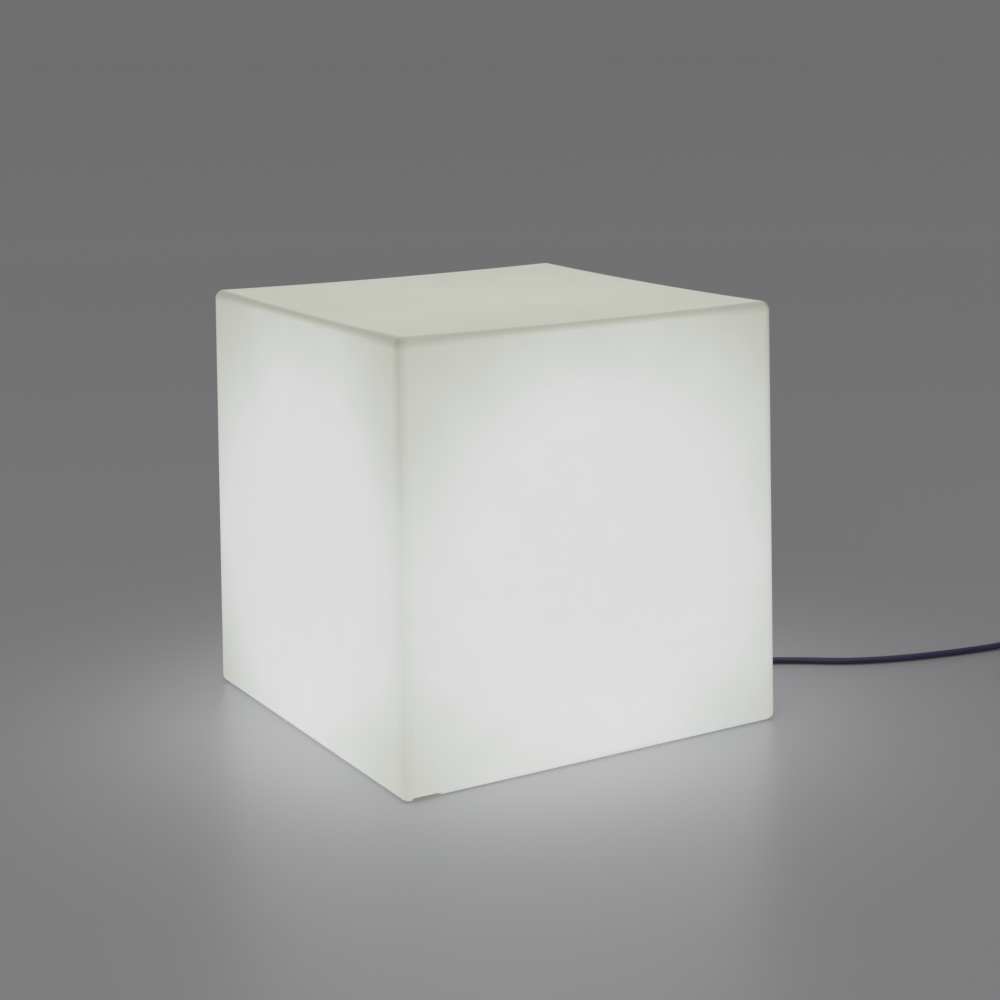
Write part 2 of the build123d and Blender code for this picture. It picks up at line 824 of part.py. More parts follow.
def make_bulb_diffuser():
    """The opal globe, whose straight rim stands on the edge of the LED board inside the housing."""
    rim = housing_radius - housing_wall - board_gap
    inner_rim = rim - diffuser_wall
    inner_globe = globe_radius - diffuser_wall
    rim_top = housing_rim_z + board_gap
    half_way = (rim_top + globe_z) / 2
    swell = (globe_radius - rim) * belly_share
    shoulder = math.sqrt(2) / 2
    globe_top = (0, globe_z + globe_radius)
    inner_top = (0, globe_z + inner_globe)
    outline = Line((rim, led_board_top), (rim, rim_top))
    outline += ThreePointArc((rim, rim_top), (rim + swell, half_way), (globe_radius, globe_z))
    outline += ThreePointArc((globe_radius, globe_z),
                             (globe_radius * shoulder, globe_z + globe_radius * shoulder), globe_top)
    outline += Line(globe_top, inner_top)
    outline += ThreePointArc(inner_top, (inner_globe * shoulder, globe_z + inner_globe * shoulder),
                             (inner_globe, globe_z))
    outline += ThreePointArc((inner_globe, globe_z), (inner_rim + swell, half_way), (inner_rim, rim_top))
    outline += Line((inner_rim, rim_top), (inner_rim, led_board_top))
    outline += Line((inner_rim, led_board_top), (rim, led_board_top))
    return revolve(Plane.XZ * make_face(outline), Axis.Z)


# The wiring inside


def make_inner_sheath():
    return gland_axis * post(cord_radius, sheath_end, guard_tip)


def core_start(angle):
    """Where a core comes out of the end of the sheath."""
    spread = math.radians(angle)
    return (sheath_end, core_spread * math.cos(spread), gland_height + core_spread * math.sin(spread))


def supply_core(angle, side):
    """The live or neutral core: out of the sheath, up in a spare loop, through the nipple to its terminal."""
    x, y, z = core_start(angle)
    aside = side * core_spread
    points = [(x, y, z), (x - core_lead, y, z)]
    points += [(x + along, aside * spreads, z + up) for along, spreads, up in core_route]
    points += [
        (0, aside, nipple_bottom + nipple_below_sheet / 2),
        (0, aside, nipple_top),
        (0, side * terminal_offset, insert_bottom - core_diameter),
        (0, side * terminal_offset, terminal_bottom),
    ]
    path, radii = rounded_route(points)
    return tube(path, core_radius)


def make_live_wire():
    return supply_core(150, -1)


def make_neutral_wire():
    return supply_core(30, 1)


def make_earth_wire():
    """The earth core, which goes low round the others and up to its lug on the bracket's leg."""
    x, y, z = core_start(270)
    points = [(x, y, z), (x - earth_lead, y, z)]
    points += [(x + along, y + aside, z + up) for along, aside, up in earth_route]
    points += [
        (lug_barrel_end - earth_lead, lug_barrel_y, earth_screw_z),
        (lug_barrel_end + lug_barrel_length, lug_barrel_y, earth_screw_z),
    ]
    path, radii = rounded_route(points)
    return tube(path, core_radius)


def make_earth_lug():
    """A tinned ring lug, with its barrel crimped on the earth core."""
    barrel_axis = Pos(0, lug_barrel_y, earth_screw_z) * Rot(0, 90, 0)
    barrel_radius = core_radius + lug_thickness
    tongue_end = lug_barrel_end + lug_barrel_length / 2
    inner_face = -bracket_span / 2
    lug = earth_axis * post(lug_radius, 0, lug_thickness)
    lug += slab((tongue_end, 0), (inner_face, inner_face + lug_thickness),
                (earth_screw_z - barrel_radius, earth_screw_z + barrel_radius))
    lug += barrel_axis * post(barrel_radius, lug_barrel_end, lug_barrel_end + lug_barrel_length)
    lug -= barrel_axis * post(core_radius + moulded_gap, lug_barrel_end, lug_barrel_end + lug_barrel_length)
    return lug - earth_axis * post(earth_screw_radius + thread_gap, 0, lug_thickness)


# The cord on the floor, its coil, and the plug


def coil_state(quarter):
    """The coil's angle, radius and height, and its radial and climbing rates, at a quarter turn's number."""
    radius = coil_inner_radius + turn_pitch * layer_quarter_counts[0] / 4
    inward = True
    start = 0
    layer = 0
    while layer + 1 < len(layer_quarter_counts) and quarter >= start + layer_quarter_counts[layer]:
        radius += (-1 if inward else 1) * turn_pitch * layer_quarter_counts[layer] / 4
        start += layer_quarter_counts[layer]
        inward = not inward
        layer += 1
    rate = -turn_pitch / 4 if inward else turn_pitch / 4
    radius += rate * (quarter - start)
    height = coil_bottom_z + layer * turn_pitch
    climb = 0
    half_climb = climb_quarter_count / 2
    to_next = start + layer_quarter_counts[layer] - quarter
    if layer > 0 and quarter - start < half_climb:
        height -= turn_pitch * (half_climb - (quarter - start)) / climb_quarter_count
        climb = turn_pitch / climb_quarter_count * climb_steepness
    if layer + 1 < len(layer_quarter_counts) and to_next < half_climb:
        height += turn_pitch * (half_climb - to_next) / climb_quarter_count
        climb = turn_pitch / climb_quarter_count * climb_steepness
    if quarter == start or quarter == quarter_total:
        rate = 0
    return math.radians(90 - 90 * quarter), radius, height, rate, climb


def coil_point(quarter):
    angle, radius, height, rate, climb = coil_state(quarter)
    return Vector(coil_centre_x + radius * math.cos(angle), coil_centre_y + radius * math.sin(angle), height)


def coil_tangent(quarter):
    """The direction of the coil's tube, which winds clockwise as seen from above."""
    angle, radius, height, rate, climb = coil_state(quarter)
    around = Vector(math.sin(angle), -math.cos(angle), 0) * (radius * math.pi / 2)
    outward = Vector(math.cos(angle), math.sin(angle), 0) * rate
    return (around + outward + Vector(0, 0, climb)).normalized()


def biarc(start, start_tangent, end, end_tangent):
    """Two arcs that join smoothly and go from one point and direction to another."""
    across = end - start
    both = start_tangent + end_tangent
    spread = 2 * (1 - start_tangent.dot(end_tangent))
    along = across.dot(both)
    reach = (math.sqrt(along**2 + spread * across.dot(across)) - along) / spread
    first_corner = start + start_tangent * reach
    second_corner = end - end_tangent * reach
    middle = (first_corner + second_corner) / 2
    middle_tangent = (second_corner - first_corner).normalized()
    first = Edge.make_tangent_arc(start, start_tangent, middle)
    return first, Edge.make_tangent_arc(middle, middle_tangent, end)


coil_start = coil_point(0) - coil_tangent(0) * cord_diameter
coil_end = coil_point(quarter_total) + coil_tangent(quarter_total) * cord_diameter


def coil_path():
    edges = [Edge.make_line(coil_start, coil_point(0))]
    for quarter in range(quarter_total):
        edges.extend(biarc(coil_point(quarter), coil_tangent(quarter),
                           coil_point(quarter + 1), coil_tangent(quarter + 1)))
    edges.append(Edge.make_line(coil_point(quarter_total), coil_end))
    return Wire(edges)


def least_gap(path):
    """The least gap between turns of the coil, measured on points half a turn or more apart."""
    samples_per_quarter = 8
    count = quarter_total * samples_per_quarter
    points = [path @ (index / count) for index in range(count + 1)]
    apart = int(path.length / count and math.pi * coil_inner_radius / (path.length / count))
    gaps = [
        (points[second] - points[first]).length
        for first in range(len(points))
        for second in range(first + apart, len(points))
    ]
    return min(gaps) - cord_diameter


def make_cord_coil():
    path = coil_path()
    coil = tube(path, cord_radius)
    share = coil.volume / (math.pi * cord_radius**2 * path.length)
    print("coil: length", round(path.length, 1), "least gap to itself", round(least_gap(path), 3))
    print("coil: volume over section times length", round(share, 4))
    return coil


def free_stretch(name, points):
    """A stretch of cord that lies free, with its bend radii and its volume printed."""
    path, radii = rounded_route(points)
    stretch = tube(path, cord_radius)
    share = stretch.volume / (math.pi * cord_radius**2 * path.length)
    print(name + ": length", round(path.length, 1), "radii", [round(radius) for radius in radii])
    print(name + ": volume over section times length", round(share, 4))
    return stretch


def make_supply_cord():
    start = (guard_tip, 0, gland_height)
    last_corner = coil_start - coil_tangent(0) * route_last_run
    points = [start]
    points += [(x, y, underside + cord_radius) for x, y, underside in floor_route]
    points[1] = (points[1][0], 0, gland_height)
    points += [tuple(last_corner), tuple(coil_start)]
    return free_stretch("supply cord", points)


plug_axis_z = plug_radius + floor_gap
tail_second = coil_end + coil_tangent(quarter_total) * tail_run
plug_rear = Vector(tail_second.X - 2 * tail_run, tail_second.Y - tie_thickness, plug_axis_z)
plug_place = Pos(*plug_rear) * Rot(0, -90, 0)


def make_cord_tail():
    third = plug_rear + Vector(tail_run, 0, 0)
    points = [coil_end, tail_second, third, plug_rear]
    return free_stretch("cord tail", [tuple(point) for point in points])


def tie_envelope():
    """The least and greatest distance from the coil's centre, and height, of the turns under the tie."""
    places = [coil_state(quarter) for quarter in range(1, quarter_total, 4)]
    radii = [state[1] for state in places]
    inside = coil_inner_radius - cord_radius
    sag = inside - math.sqrt(inside**2 - tie_width**2 / 4)
    sag += turn_pitch / (2 * math.pi) * tie_width / (2 * inside)
    heights = [state[2] for state in places]
    return min(radii) - sag, max(radii), max(heights)


def make_coil_tie():
    """A strap round all the turns on the coil's +X side, with its buckle on the outside."""
    inner, outer, top = tie_envelope()
    room = cord_radius + tie_gap
    x_range = (coil_centre_x + inner - room, coil_centre_x + outer + room)
    z_range = (coil_bottom_z - room, top + room)
    width = x_range[1] - x_range[0]
    height = z_range[1] - z_range[0]
    middle = Pos(sum(x_range) / 2, coil_centre_y, sum(z_range) / 2) * Rot(90, 0, 0)
    outside = RectangleRounded(width + 2 * tie_thickness, height + 2 * tie_thickness,
                               tie_corner_radius + tie_thickness)
    strap = extrude(outside - RectangleRounded(width, height, tie_corner_radius), tie_width / 2, both=True)
    half_buckle = tie_width / 2 + tie_thickness
    buckle = slab((x_range[1] + tie_thickness / 2, x_range[1] + tie_thickness + tie_buckle_height),
                  (coil_centre_y - half_buckle, coil_centre_y + half_buckle),
                  (sum(z_range) / 2 - tie_buckle_length / 2, sum(z_range) / 2 + tie_buckle_length / 2))
    return middle * strap + fillet(buckle.edges().filter_by(Axis.Y), tie_thickness)


def plug_body_profile():
    shoulder = plug_boot_length + plug_shoulder_length
    return lathe(
        (0, 0),
        (plug_boot_radius, 0),
        (plug_boot_top_radius, plug_boot_length),
        (plug_radius, shoulder),
        (plug_radius, plug_face),
        (0, plug_face),
    )


def make_plug_body():
    """The moulded plug: a grooved boot, a sloping shoulder with two grip flats, and a round face."""
    body = plug_body_profile()
    face_edge = body.edges().group_by(Axis.Z)[-1]
    body = fillet(face_edge, plug_edge_radius)
    for count in range(1, plug_groove_count + 1):
        share = count / (plug_groove_count + 1)
        groove = plug_boot_length * share
        outside = plug_boot_radius + (plug_boot_top_radius - plug_boot_radius) * share
        body -= ring(plug_radius, outside - plug_groove_depth, groove, groove + plug_groove_width)
    flat = grip_flat_spacing / 2
    shoulder = plug_boot_length + plug_shoulder_length
    for side in (1, -1):
        y_range = sorted((side * flat, side * plug_radius))
        body -= slab((-plug_radius, plug_radius), y_range, (0, shoulder))
        slot_x = sorted((side * (plug_radius - earth_slot_depth), side * (plug_radius + earth_slot_depth)))
        body -= slab(slot_x, (-earth_slot_width / 2, earth_slot_width / 2),
                     (plug_face - earth_slot_length, plug_face))
        pin_hole = post(pin_root_radius + moulded_gap, plug_face - pin_root_length, plug_face)
        body -= Pos(0, side * pin_spacing / 2, 0) * pin_hole
    socket = post(earth_socket_radius, plug_face - earth_socket_depth, plug_face)
    body -= Pos(earth_socket_offset, 0, 0) * socket
    return plug_place * body


def make_plug_pins():
    pin = post(pin_radius, plug_face, plug_face + pin_length)
    pin = fillet(pin.faces().sort_by(Axis.Z)[-1].edges(), pin_end_radius)
    pin += post(pin_root_radius, plug_face - pin_root_length, plug_face)
    pair = Pos(0, pin_spacing / 2, 0) * pin + Pos(0, -pin_spacing / 2, 0) * pin
    return plug_place * pair


def make_plug_earth_contacts():
    floor_x = plug_radius - earth_slot_depth
    strips = []
    for side in (1, -1):
        x_range = sorted((side * floor_x, side * (floor_x + earth_strip_thickness)))
        strips.append(slab(x_range, (-earth_strip_width / 2, earth_strip_width / 2),
                           (plug_face - earth_slot_length, plug_face)))
    return plug_place * (strips[0] + strips[1])


# The nodes, each written to its own file

nodes = {
    "cube_shell": make_cube_shell,
    "threaded_inserts": make_threaded_inserts,
    "cover_gasket": make_cover_gasket,
    "base_cover": make_base_cover,
    "cover_screws": make_cover_screws,
    "gland_body": make_gland_body,
    "gland_washer": make_gland_washer,
    "gland_locknut": make_gland_locknut,
    "gland_seal": make_gland_seal,
    "gland_nut": make_gland_nut,
    "bend_guard": make_bend_guard,
    "cord_clamp": make_cord_clamp,
    "clamp_screws": make_clamp_screws,
    "holder_bracket": make_holder_bracket,
    "bracket_screws": make_bracket_screws,
    "earth_screw": make_earth_screw,
    "nipple": make_nipple,
    "nipple_nut": make_nipple_nut,
    "holder_cap": make_holder_cap,
    "holder_insert": make_holder_insert,
    "holder_terminals": make_holder_terminals,
    "terminal_screws": make_terminal_screws,
    "contact_shell": make_contact_shell,
    "contact_spring": make_contact_spring,
    "holder_skirt": make_holder_skirt,
    "bulb_tip": make_bulb_tip,
    "bulb_insulator": make_bulb_insulator,
    "bulb_cap": make_bulb_cap,
    "bulb_housing": make_bulb_housing,
    "driver_board": make_driver_board,
    "led_board": make_led_board,
    "led_chips": make_led_chips,
    "bulb_diffuser": make_bulb_diffuser,
    "inner_sheath": make_inner_sheath,
    "live_wire": make_live_wire,
    "neutral_wire": make_neutral_wire,
    "earth_wire": make_earth_wire,
    "earth_lug": make_earth_lug,
    "supply_cord": make_supply_cord,
    "cord_coil": make_cord_coil,
    "coil_tie": make_coil_tie,
    "cord_tail": make_cord_tail,
    "plug_body": make_plug_body,
    "plug_pins": make_plug_pins,
    "plug_earth_contacts": make_plug_earth_contacts,
}

os.makedirs("parts", exist_ok=True)
for name, make in nodes.items():
    solid = make()
    if isinstance(solid, list):
        solid = Part() + solid
    export_step(solid, "parts/" + name + ".step")
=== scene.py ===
import math
import bpy
from mathutils import Matrix, Vector


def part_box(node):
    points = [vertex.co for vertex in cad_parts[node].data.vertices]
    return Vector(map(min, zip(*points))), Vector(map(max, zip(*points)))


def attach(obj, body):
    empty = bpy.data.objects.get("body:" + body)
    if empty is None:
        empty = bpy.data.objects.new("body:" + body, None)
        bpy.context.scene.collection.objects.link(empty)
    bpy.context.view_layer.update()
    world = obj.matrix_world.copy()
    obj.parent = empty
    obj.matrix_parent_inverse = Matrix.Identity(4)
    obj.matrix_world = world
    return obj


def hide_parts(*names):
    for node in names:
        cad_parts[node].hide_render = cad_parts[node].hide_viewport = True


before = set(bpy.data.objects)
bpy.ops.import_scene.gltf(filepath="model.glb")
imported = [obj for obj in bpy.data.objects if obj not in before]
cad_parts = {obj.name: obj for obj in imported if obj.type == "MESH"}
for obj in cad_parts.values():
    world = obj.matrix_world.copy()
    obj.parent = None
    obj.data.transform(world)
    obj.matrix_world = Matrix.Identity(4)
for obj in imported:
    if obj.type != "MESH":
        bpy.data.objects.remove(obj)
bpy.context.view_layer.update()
bpy.ops.object.select_all(action="DESELECT")

# The view of the photograph: the camera stands in front of the near edge, a little above the cube, so that the wide
# face is on its right and the top is just seen. The lens has no shift, and the camera leans by under a degree.
camera_place = Vector((-0.93288, -1.61570, 0.64556))
camera_turn = math.radians(-30.416)
camera_look_down = math.radians(13.387)
camera_lean = math.radians(-0.793)
camera_lens_mm = 71.748
sensor_width_mm = 36.0
bpy.ops.object.camera_add(location=camera_place)
camera = bpy.context.object
camera.name = "camera"
camera.data.sensor_width = sensor_width_mm
camera.data.lens = camera_lens_mm
aimed = Matrix.Rotation(camera_turn, 4, "Z") @ Matrix.Rotation(math.pi / 2 - camera_look_down, 4, "X")
camera.matrix_world = Matrix.Translation(camera_place) @ aimed @ Matrix.Rotation(camera_lean, 4, "Z")
bpy.context.scene.camera = camera
bpy.context.scene.view_settings.view_transform = "Standard"

# The studio: a pale floor without an edge in view, soft lamps above and in front, and an even surround. The
# floor is satin, so that the glowing faces show in it as a blur. Its colour holds a painted pool of the cube's light:
# palest close to the cube, greyest about 0.7 m out, and a little paler again far off.
floor_radius = 40.0
floor_drop = 0.0003
floor_roughness = 0.36
floor_shine = 1.0
floor_blue = 1.02
painted_pool_span = 8.0
# The floor's grey by distance from the cube: a painted pool of the cube's light, palest close to it.
painted_pool_by_distance = [
    (0.20, 0.50), (0.23, 0.465), (0.26, 0.43), (0.29, 0.385), (0.32, 0.345), (0.36, 0.30), (0.40, 0.268),
    (0.46, 0.24), (0.55, 0.219), (0.70, 0.212), (2.0, 0.236), (4.5, 0.285), (8.0, 0.297),
]
surround_light = (0.62, 0.62, 0.63, 1)
surround_seen = (0.156, 0.156, 0.159, 1)
lamps_aim = Vector((0, 0, 0.2))


def new_finish(name):
    """A new material with its node tree and its Principled shader."""
    finish = bpy.data.materials.new(name)
    finish.use_nodes = True
    tree = finish.node_tree
    return finish, tree, tree.nodes["Principled BSDF"]


def connect(tree, value, socket):
    """Sets an input socket to a number or colour, or links an output to it."""
    if isinstance(value, bpy.types.NodeSocket):
        tree.links.new(value, socket)
    else:
        socket.default_value = value


def add_node(tree, kind, values={}, **settings):
    """A shader node with its settings, and its input sockets by name."""
    node = tree.nodes.new("ShaderNode" + kind)
    for name, value in settings.items():
        setattr(node, name, value)
    for name, value in values.items():
        connect(tree, value, node.inputs[name])
    return node


def work_out(tree, operation, *values):
    """The result of one Math node."""
    node = add_node(tree, "Math", operation=operation)
    for socket, value in zip(node.inputs, values):
        connect(tree, value, socket)
    return node.outputs[0]


def work_out_vector(tree, operation, *values):
    """One Vector Math node, which has its result in its first output, or in Value for a length or a product."""
    node = add_node(tree, "VectorMath", operation=operation)
    for socket, value in zip(node.inputs, values):
        connect(tree, value, socket)
    return node


def colour_steps(tree, value, steps):
    """The colour that a value has between steps of (value, colour)."""
    ramp = add_node(tree, "ValToRGB", {"Fac": value})
    elements = ramp.color_ramp.elements
    for count, (position, colour) in enumerate(steps):
        element = elements[count] if count < len(elements) else elements.new(position)
        element.position = position
        element.color = (*colour, 1)
    return ramp.outputs["Color"]


floor_finish, tree, shader = new_finish("studio_floor")
place = add_node(tree, "TexCoord").outputs["Object"]
distance = work_out_vector(tree, "LENGTH", place).outputs["Value"]
distance = work_out(tree, "DIVIDE", distance, painted_pool_span)
# The floor's colour by its distance from the cube, which paints the pool of the cube's light around it.
painted_pool_steps = [(at / painted_pool_span, (grey, grey, grey * floor_blue)) for at, grey in painted_pool_by_distance]
tree.links.new(colour_steps(tree, distance, painted_pool_steps), shader.inputs["Base Color"])
shader.inputs["Roughness"].default_value = floor_roughness
shader.inputs["Specular IOR Level"].default_value = floor_shine
bpy.ops.mesh.primitive_circle_add(vertices=96, radius=floor_radius, fill_type="NGON", location=(0, 0, -floor_drop))
floor = bpy.context.object
floor.name = "studio_floor"
floor.data.materials.append(floor_finish)

world = bpy.data.worlds.new("surround")
bpy.context.scene.world = world
world.use_nodes = True
tree = world.node_tree
lighting = tree.nodes["Background"]
lighting.inputs["Color"].default_value = surround_light
seen = add_node(tree, "Background", {"Color": surround_seen})
rays = add_node(tree, "LightPath")
shown = work_out(tree, "MAXIMUM", rays.outputs["Is Camera Ray"], rays.outputs["Is Glossy Ray"])
shown = work_out(tree, "MAXIMUM", shown, rays.outputs["Is Transmission Ray"])
both = add_node(tree, "MixShader", {"Fac": shown})
tree.links.new(lighting.outputs[0], both.inputs[1])
tree.links.new(seen.outputs[0], both.inputs[2])
tree.links.new(both.outputs[0], tree.nodes["World Output"].inputs["Surface"])


def soft_lamp(name, place, size, power):
    """A square lamp that looks at the middle of the cube."""
    bpy.ops.object.light_add(type="AREA", location=place)
    lamp = bpy.context.object
    lamp.name = name
    lamp.data.size = size
    lamp.data.energy = power
    lamp.rotation_euler = (lamps_aim - Vector(place)).to_track_quat("-Z", "Y").to_euler()


soft_lamp("lamp_above", place=(-0.2, -0.5, 3.0), size=3.0, power=34.0)
soft_lamp("lamp_front", place=(-2.6, -2.2, 1.5), size=2.5, power=28.0)

# The mains cord: one round three-core lead in black rubber with a blue cast, from the cable gland across the floor to
# the coil that it is put away in, and out of the coil to its plug. The photograph shows the first stretch of it. The
# coil's radii and heights are those of the cord's middle, each after a number of quarter turns.
cord_diameter = 0.0065
cord_exit = (0.0756, 0.0, 0.014)
floor_points = [
    cord_exit,
    (0.096, 0.0, 0.014),
    (0.119, 0.0014, 0.00885),
    (0.143, 0.003, 0.00335),
    (0.172, 0.0006, 0.00335),
    (0.203, -0.0062, 0.00335),
    (0.236, -0.021, 0.00335),
    (0.270, -0.0415, 0.00335),
    (0.303, -0.062, 0.00335),
    (0.333, -0.0815, 0.00335),
    (0.361, -0.103, 0.00335),
    (0.392, -0.1185, 0.00335),
    (0.426, -0.1305, 0.00335),
    (0.462, -0.1395, 0.00335),
    (0.498, -0.147, 0.00335),
    (0.533, -0.1525, 0.00355),
    (0.5655, -0.15315, 0.00485),
]
tail_points = [
    (0.5815, -0.24685, 0.0257),
    (0.5655, -0.24805, 0.0189),
    (0.5495, -0.24805, 0.0189),
]
coil_centre = (0.604, -0.2)
coil_quarter_turns = 46
coil_radii = [(0, 0.04685), (12, 0.026), (23, 0.0451125), (34, 0.026), (46, 0.04685)]
coil_heights = [(11, 0.00485), (13, 0.0118), (22, 0.0118), (24, 0.01875), (33, 0.01875), (35, 0.0257)]
points_per_quarter = 4


def read_off(marks, at):
    """The value at a place on the straight lines between marks, and the end values beyond them."""
    if at <= marks[0][0]:
        return marks[0][1]
    for (start, low), (end, high) in zip(marks, marks[1:]):
        if at <= end:
            return low + (high - low) * (at - start) / (end - start)
    return marks[-1][1]


coil_points = []
half_step = math.pi / 4 / points_per_quarter
for count in range(coil_quarter_turns * points_per_quarter + 2):
    quarter = (count - 0.5) / points_per_quarter
    angle = math.pi / 2 * (1 - quarter)
    reach = read_off(coil_radii, quarter) / math.cos(half_step)
    coil_points.append((
        coil_centre[0] + reach * math.cos(angle),
        coil_centre[1] + reach * math.sin(angle),
        read_off(coil_heights, quarter),
    ))


def lay_cord(name, points, radius, steps, roundness):
    """A round cord or core in one smooth line that follows chosen points."""
    curve = bpy.data.curves.new(name, "CURVE")
    curve.dimensions = "3D"
    curve.resolution_u = steps
    curve.bevel_depth = radius
    curve.bevel_resolution = roundness
    curve.use_fill_caps = True
    line = curve.splines.new("NURBS")
    line.points.add(len(points) - 1)
    for point, place in zip(line.points, points):
        point.co = (*place, 1)
    line.order_u = 3
    line.use_endpoint_u = True
    cord = bpy.data.objects.new(name, curve)
    bpy.context.scene.collection.objects.link(cord)
    return cord


def grained_finish(name, colour, roughness, grain, depth, change=0.06, metallic=0.0, stretch=(1, 1, 1)):
    """A moulded, cast or rolled surface. Its grain and the depth of that are in metres, and its colour and roughness
    change a little from place to place."""
    finish, tree, shader = new_finish(name)
    place = add_node(tree, "TexCoord").outputs["Object"]
    along = add_node(tree, "Mapping", {"Vector": place, "Scale": stretch}).outputs[0]
    fine = add_node(tree, "TexNoise", {"Vector": along, "Scale": 1 / grain, "Detail": 4.0}).outputs["Fac"]
    broad = add_node(tree, "TexNoise", {"Vector": place, "Scale": 1 / (60 * grain), "Detail": 2.0}).outputs["Fac"]
    mixed = work_out(tree, "ADD", work_out(tree, "MULTIPLY", fine, 0.4), work_out(tree, "MULTIPLY", broad, 0.6))
    dark = [channel * (1 - 2 * change) for channel in colour]
    light = [min(channel * (1 + 2 * change), 1) for channel in colour]
    tree.links.new(colour_steps(tree, mixed, [(0.3, dark), (0.7, light)]), shader.inputs["Base Color"])
    gloss = add_node(tree, "MapRange", {"Value": mixed, "From Min": 0.3, "From Max": 0.7,
                                        "To Min": roughness * 0.85, "To Max": roughness * 1.15})
    tree.links.new(gloss.outputs[0], shader.inputs["Roughness"])
    bump = add_node(tree, "Bump", {"Height": fine, "Strength": 1.0, "Distance": depth})
    tree.links.new(bump.outputs[0], shader.inputs["Normal"])
    shader.inputs["Metallic"].default_value = metallic
    return finish


cord_rubber = grained_finish("cord_rubber", (0.021, 0.019, 0.055), 0.40, 0.0006, 0.00002, change=0.15)
cord_points = floor_points + coil_points + tail_points
mains_cord = lay_cord("mains_cord", cord_points, cord_diameter / 2, steps=5, roundness=5)
mains_cord.data.materials.append(cord_rubber)
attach(mains_cord, "light")
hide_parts("supply_cord", "cord_coil", "cord_tail")

# The tie that holds the coil together: a woven hook-and-loop strap once round all its turns, with its free end laid
# back through a moulded nylon buckle on the outside.
tie_low, tie_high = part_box("coil_tie")
tie_thickness = 0.0012
tie_half_width = 0.005
tie_corner = 0.0037
points_per_corner = 8
tie_softness = 0.0003
buckle_softness = 0.0004
flap_gap = 0.0001
buckle_gap = 0.0002
buckle_reach = 0.0035
buckle_half_height = 0.007
buckle_wall = 0.0013
window_half_height = 0.005
flap_half_height = 0.011
flap_half_width = 0.0047
tie_face = tie_high.x - buckle_reach
tie_middle = (tie_low + tie_high) / 2


def finish_mesh(piece, angle=30):
    """Leaves edit mode, puts the piece's place in its mesh, turns its faces outwards and smooths its round faces."""
    if piece.mode == "EDIT":
        bpy.ops.object.mode_set(mode="OBJECT")
    bpy.ops.object.select_all(action="DESELECT")
    piece.select_set(True)
    bpy.context.view_layer.objects.active = piece
    bpy.ops.object.transform_apply(location=True, rotation=True, scale=True)
    bpy.ops.object.mode_set(mode="EDIT")
    bpy.ops.mesh.select_all(action="SELECT")
    bpy.ops.mesh.remove_doubles(threshold=0.000002)
    bpy.ops.mesh.normals_make_consistent(inside=False)
    bpy.ops.object.mode_set(mode="OBJECT")
    bpy.ops.object.shade_smooth_by_angle(angle=math.radians(angle))
    return piece


def new_block(name, low, high):
    """A block between two opposite corners."""
    low, high = Vector(low), Vector(high)
    bpy.ops.mesh.primitive_cube_add(size=1, location=(low + high) / 2, scale=high - low)
    block = bpy.context.object
    block.name = name
    bpy.ops.object.transform_apply(location=True, rotation=True, scale=True)
    return block


def apply_to(piece, kind, **settings):
    """Puts one modifier on a piece and applies it."""
    bpy.ops.object.select_all(action="DESELECT")
    piece.select_set(True)
    bpy.context.view_layer.objects.active = piece
    modifier = piece.modifiers.new(kind.lower(), kind)
    for name, value in settings.items():
        setattr(modifier, name, value)
    bpy.ops.object.modifier_apply(modifier=modifier.name)
    return piece


def cut_with(piece, cutter):
    """Cuts one solid out of another, and removes the cutter."""
    apply_to(piece, "BOOLEAN", object=cutter, operation="DIFFERENCE", solver="EXACT")
    bpy.data.objects.remove(cutter)
    return piece


def soften(piece, width):
    """Rounds the sharp edges of a piece."""
    return apply_to(piece, "BEVEL", width=width, segments=2, limit_method="ANGLE", angle_limit=math.radians(30))


def join_pieces(name, *pieces):
    """Makes one piece of several, which keep their own materials."""
    bpy.ops.object.select_all(action="DESELECT")
    for piece in pieces:
        piece.select_set(True)
    bpy.context.view_layer.objects.active = pieces[0]
    bpy.ops.object.join()
    bpy.context.object.name = name
    return bpy.context.object


def stand_for(piece, slot, body, *nodes):
    """Puts a piece on its body, in place of the CAD nodes that it stands for."""
    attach(piece, body)
    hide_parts(*nodes)


def fit(piece, finish, slot, body, *nodes):
    """Gives a piece its finish, and puts it in place of its CAD nodes."""
    piece.data.materials.clear()
    piece.data.materials.append(finish)
    stand_for(piece, slot, body, *nodes)


woven_tie, tree, shader = new_finish("woven_tie")
place = add_node(tree, "TexCoord").outputs["Object"]
threads = []
for turn in ((0, 0, 0), (math.pi / 2, 0, 0)):
    turned_place = add_node(tree, "Mapping", {"Vector": place, "Rotation": turn}).outputs[0]
    thread = add_node(tree, "TexWave", {"Vector": turned_place, "Scale": 260.0}, bands_direction="Y")
    threads.append(thread.outputs["Fac"])
weave = work_out(tree, "MULTIPLY", *threads)
fuzz = add_node(tree, "TexNoise", {"Vector": place, "Scale": 4000.0, "Detail": 2.0}).outputs["Fac"]
height = work_out(tree, "MULTIPLY_ADD", fuzz, 0.5, weave)
tie_steps = [(0.2, (0.010, 0.010, 0.011)), (1.1, (0.042, 0.042, 0.044))]
tree.links.new(colour_steps(tree, height, tie_steps), shader.inputs["Base Color"])
bump = add_node(tree, "Bump", {"Height": height, "Strength": 0.9, "Distance": 0.00025})
tree.links.new(bump.outputs[0], shader.inputs["Normal"])
shader.inputs["Roughness"].default_value = 0.85
shader.inputs["Sheen Weight"].default_value = 0.3

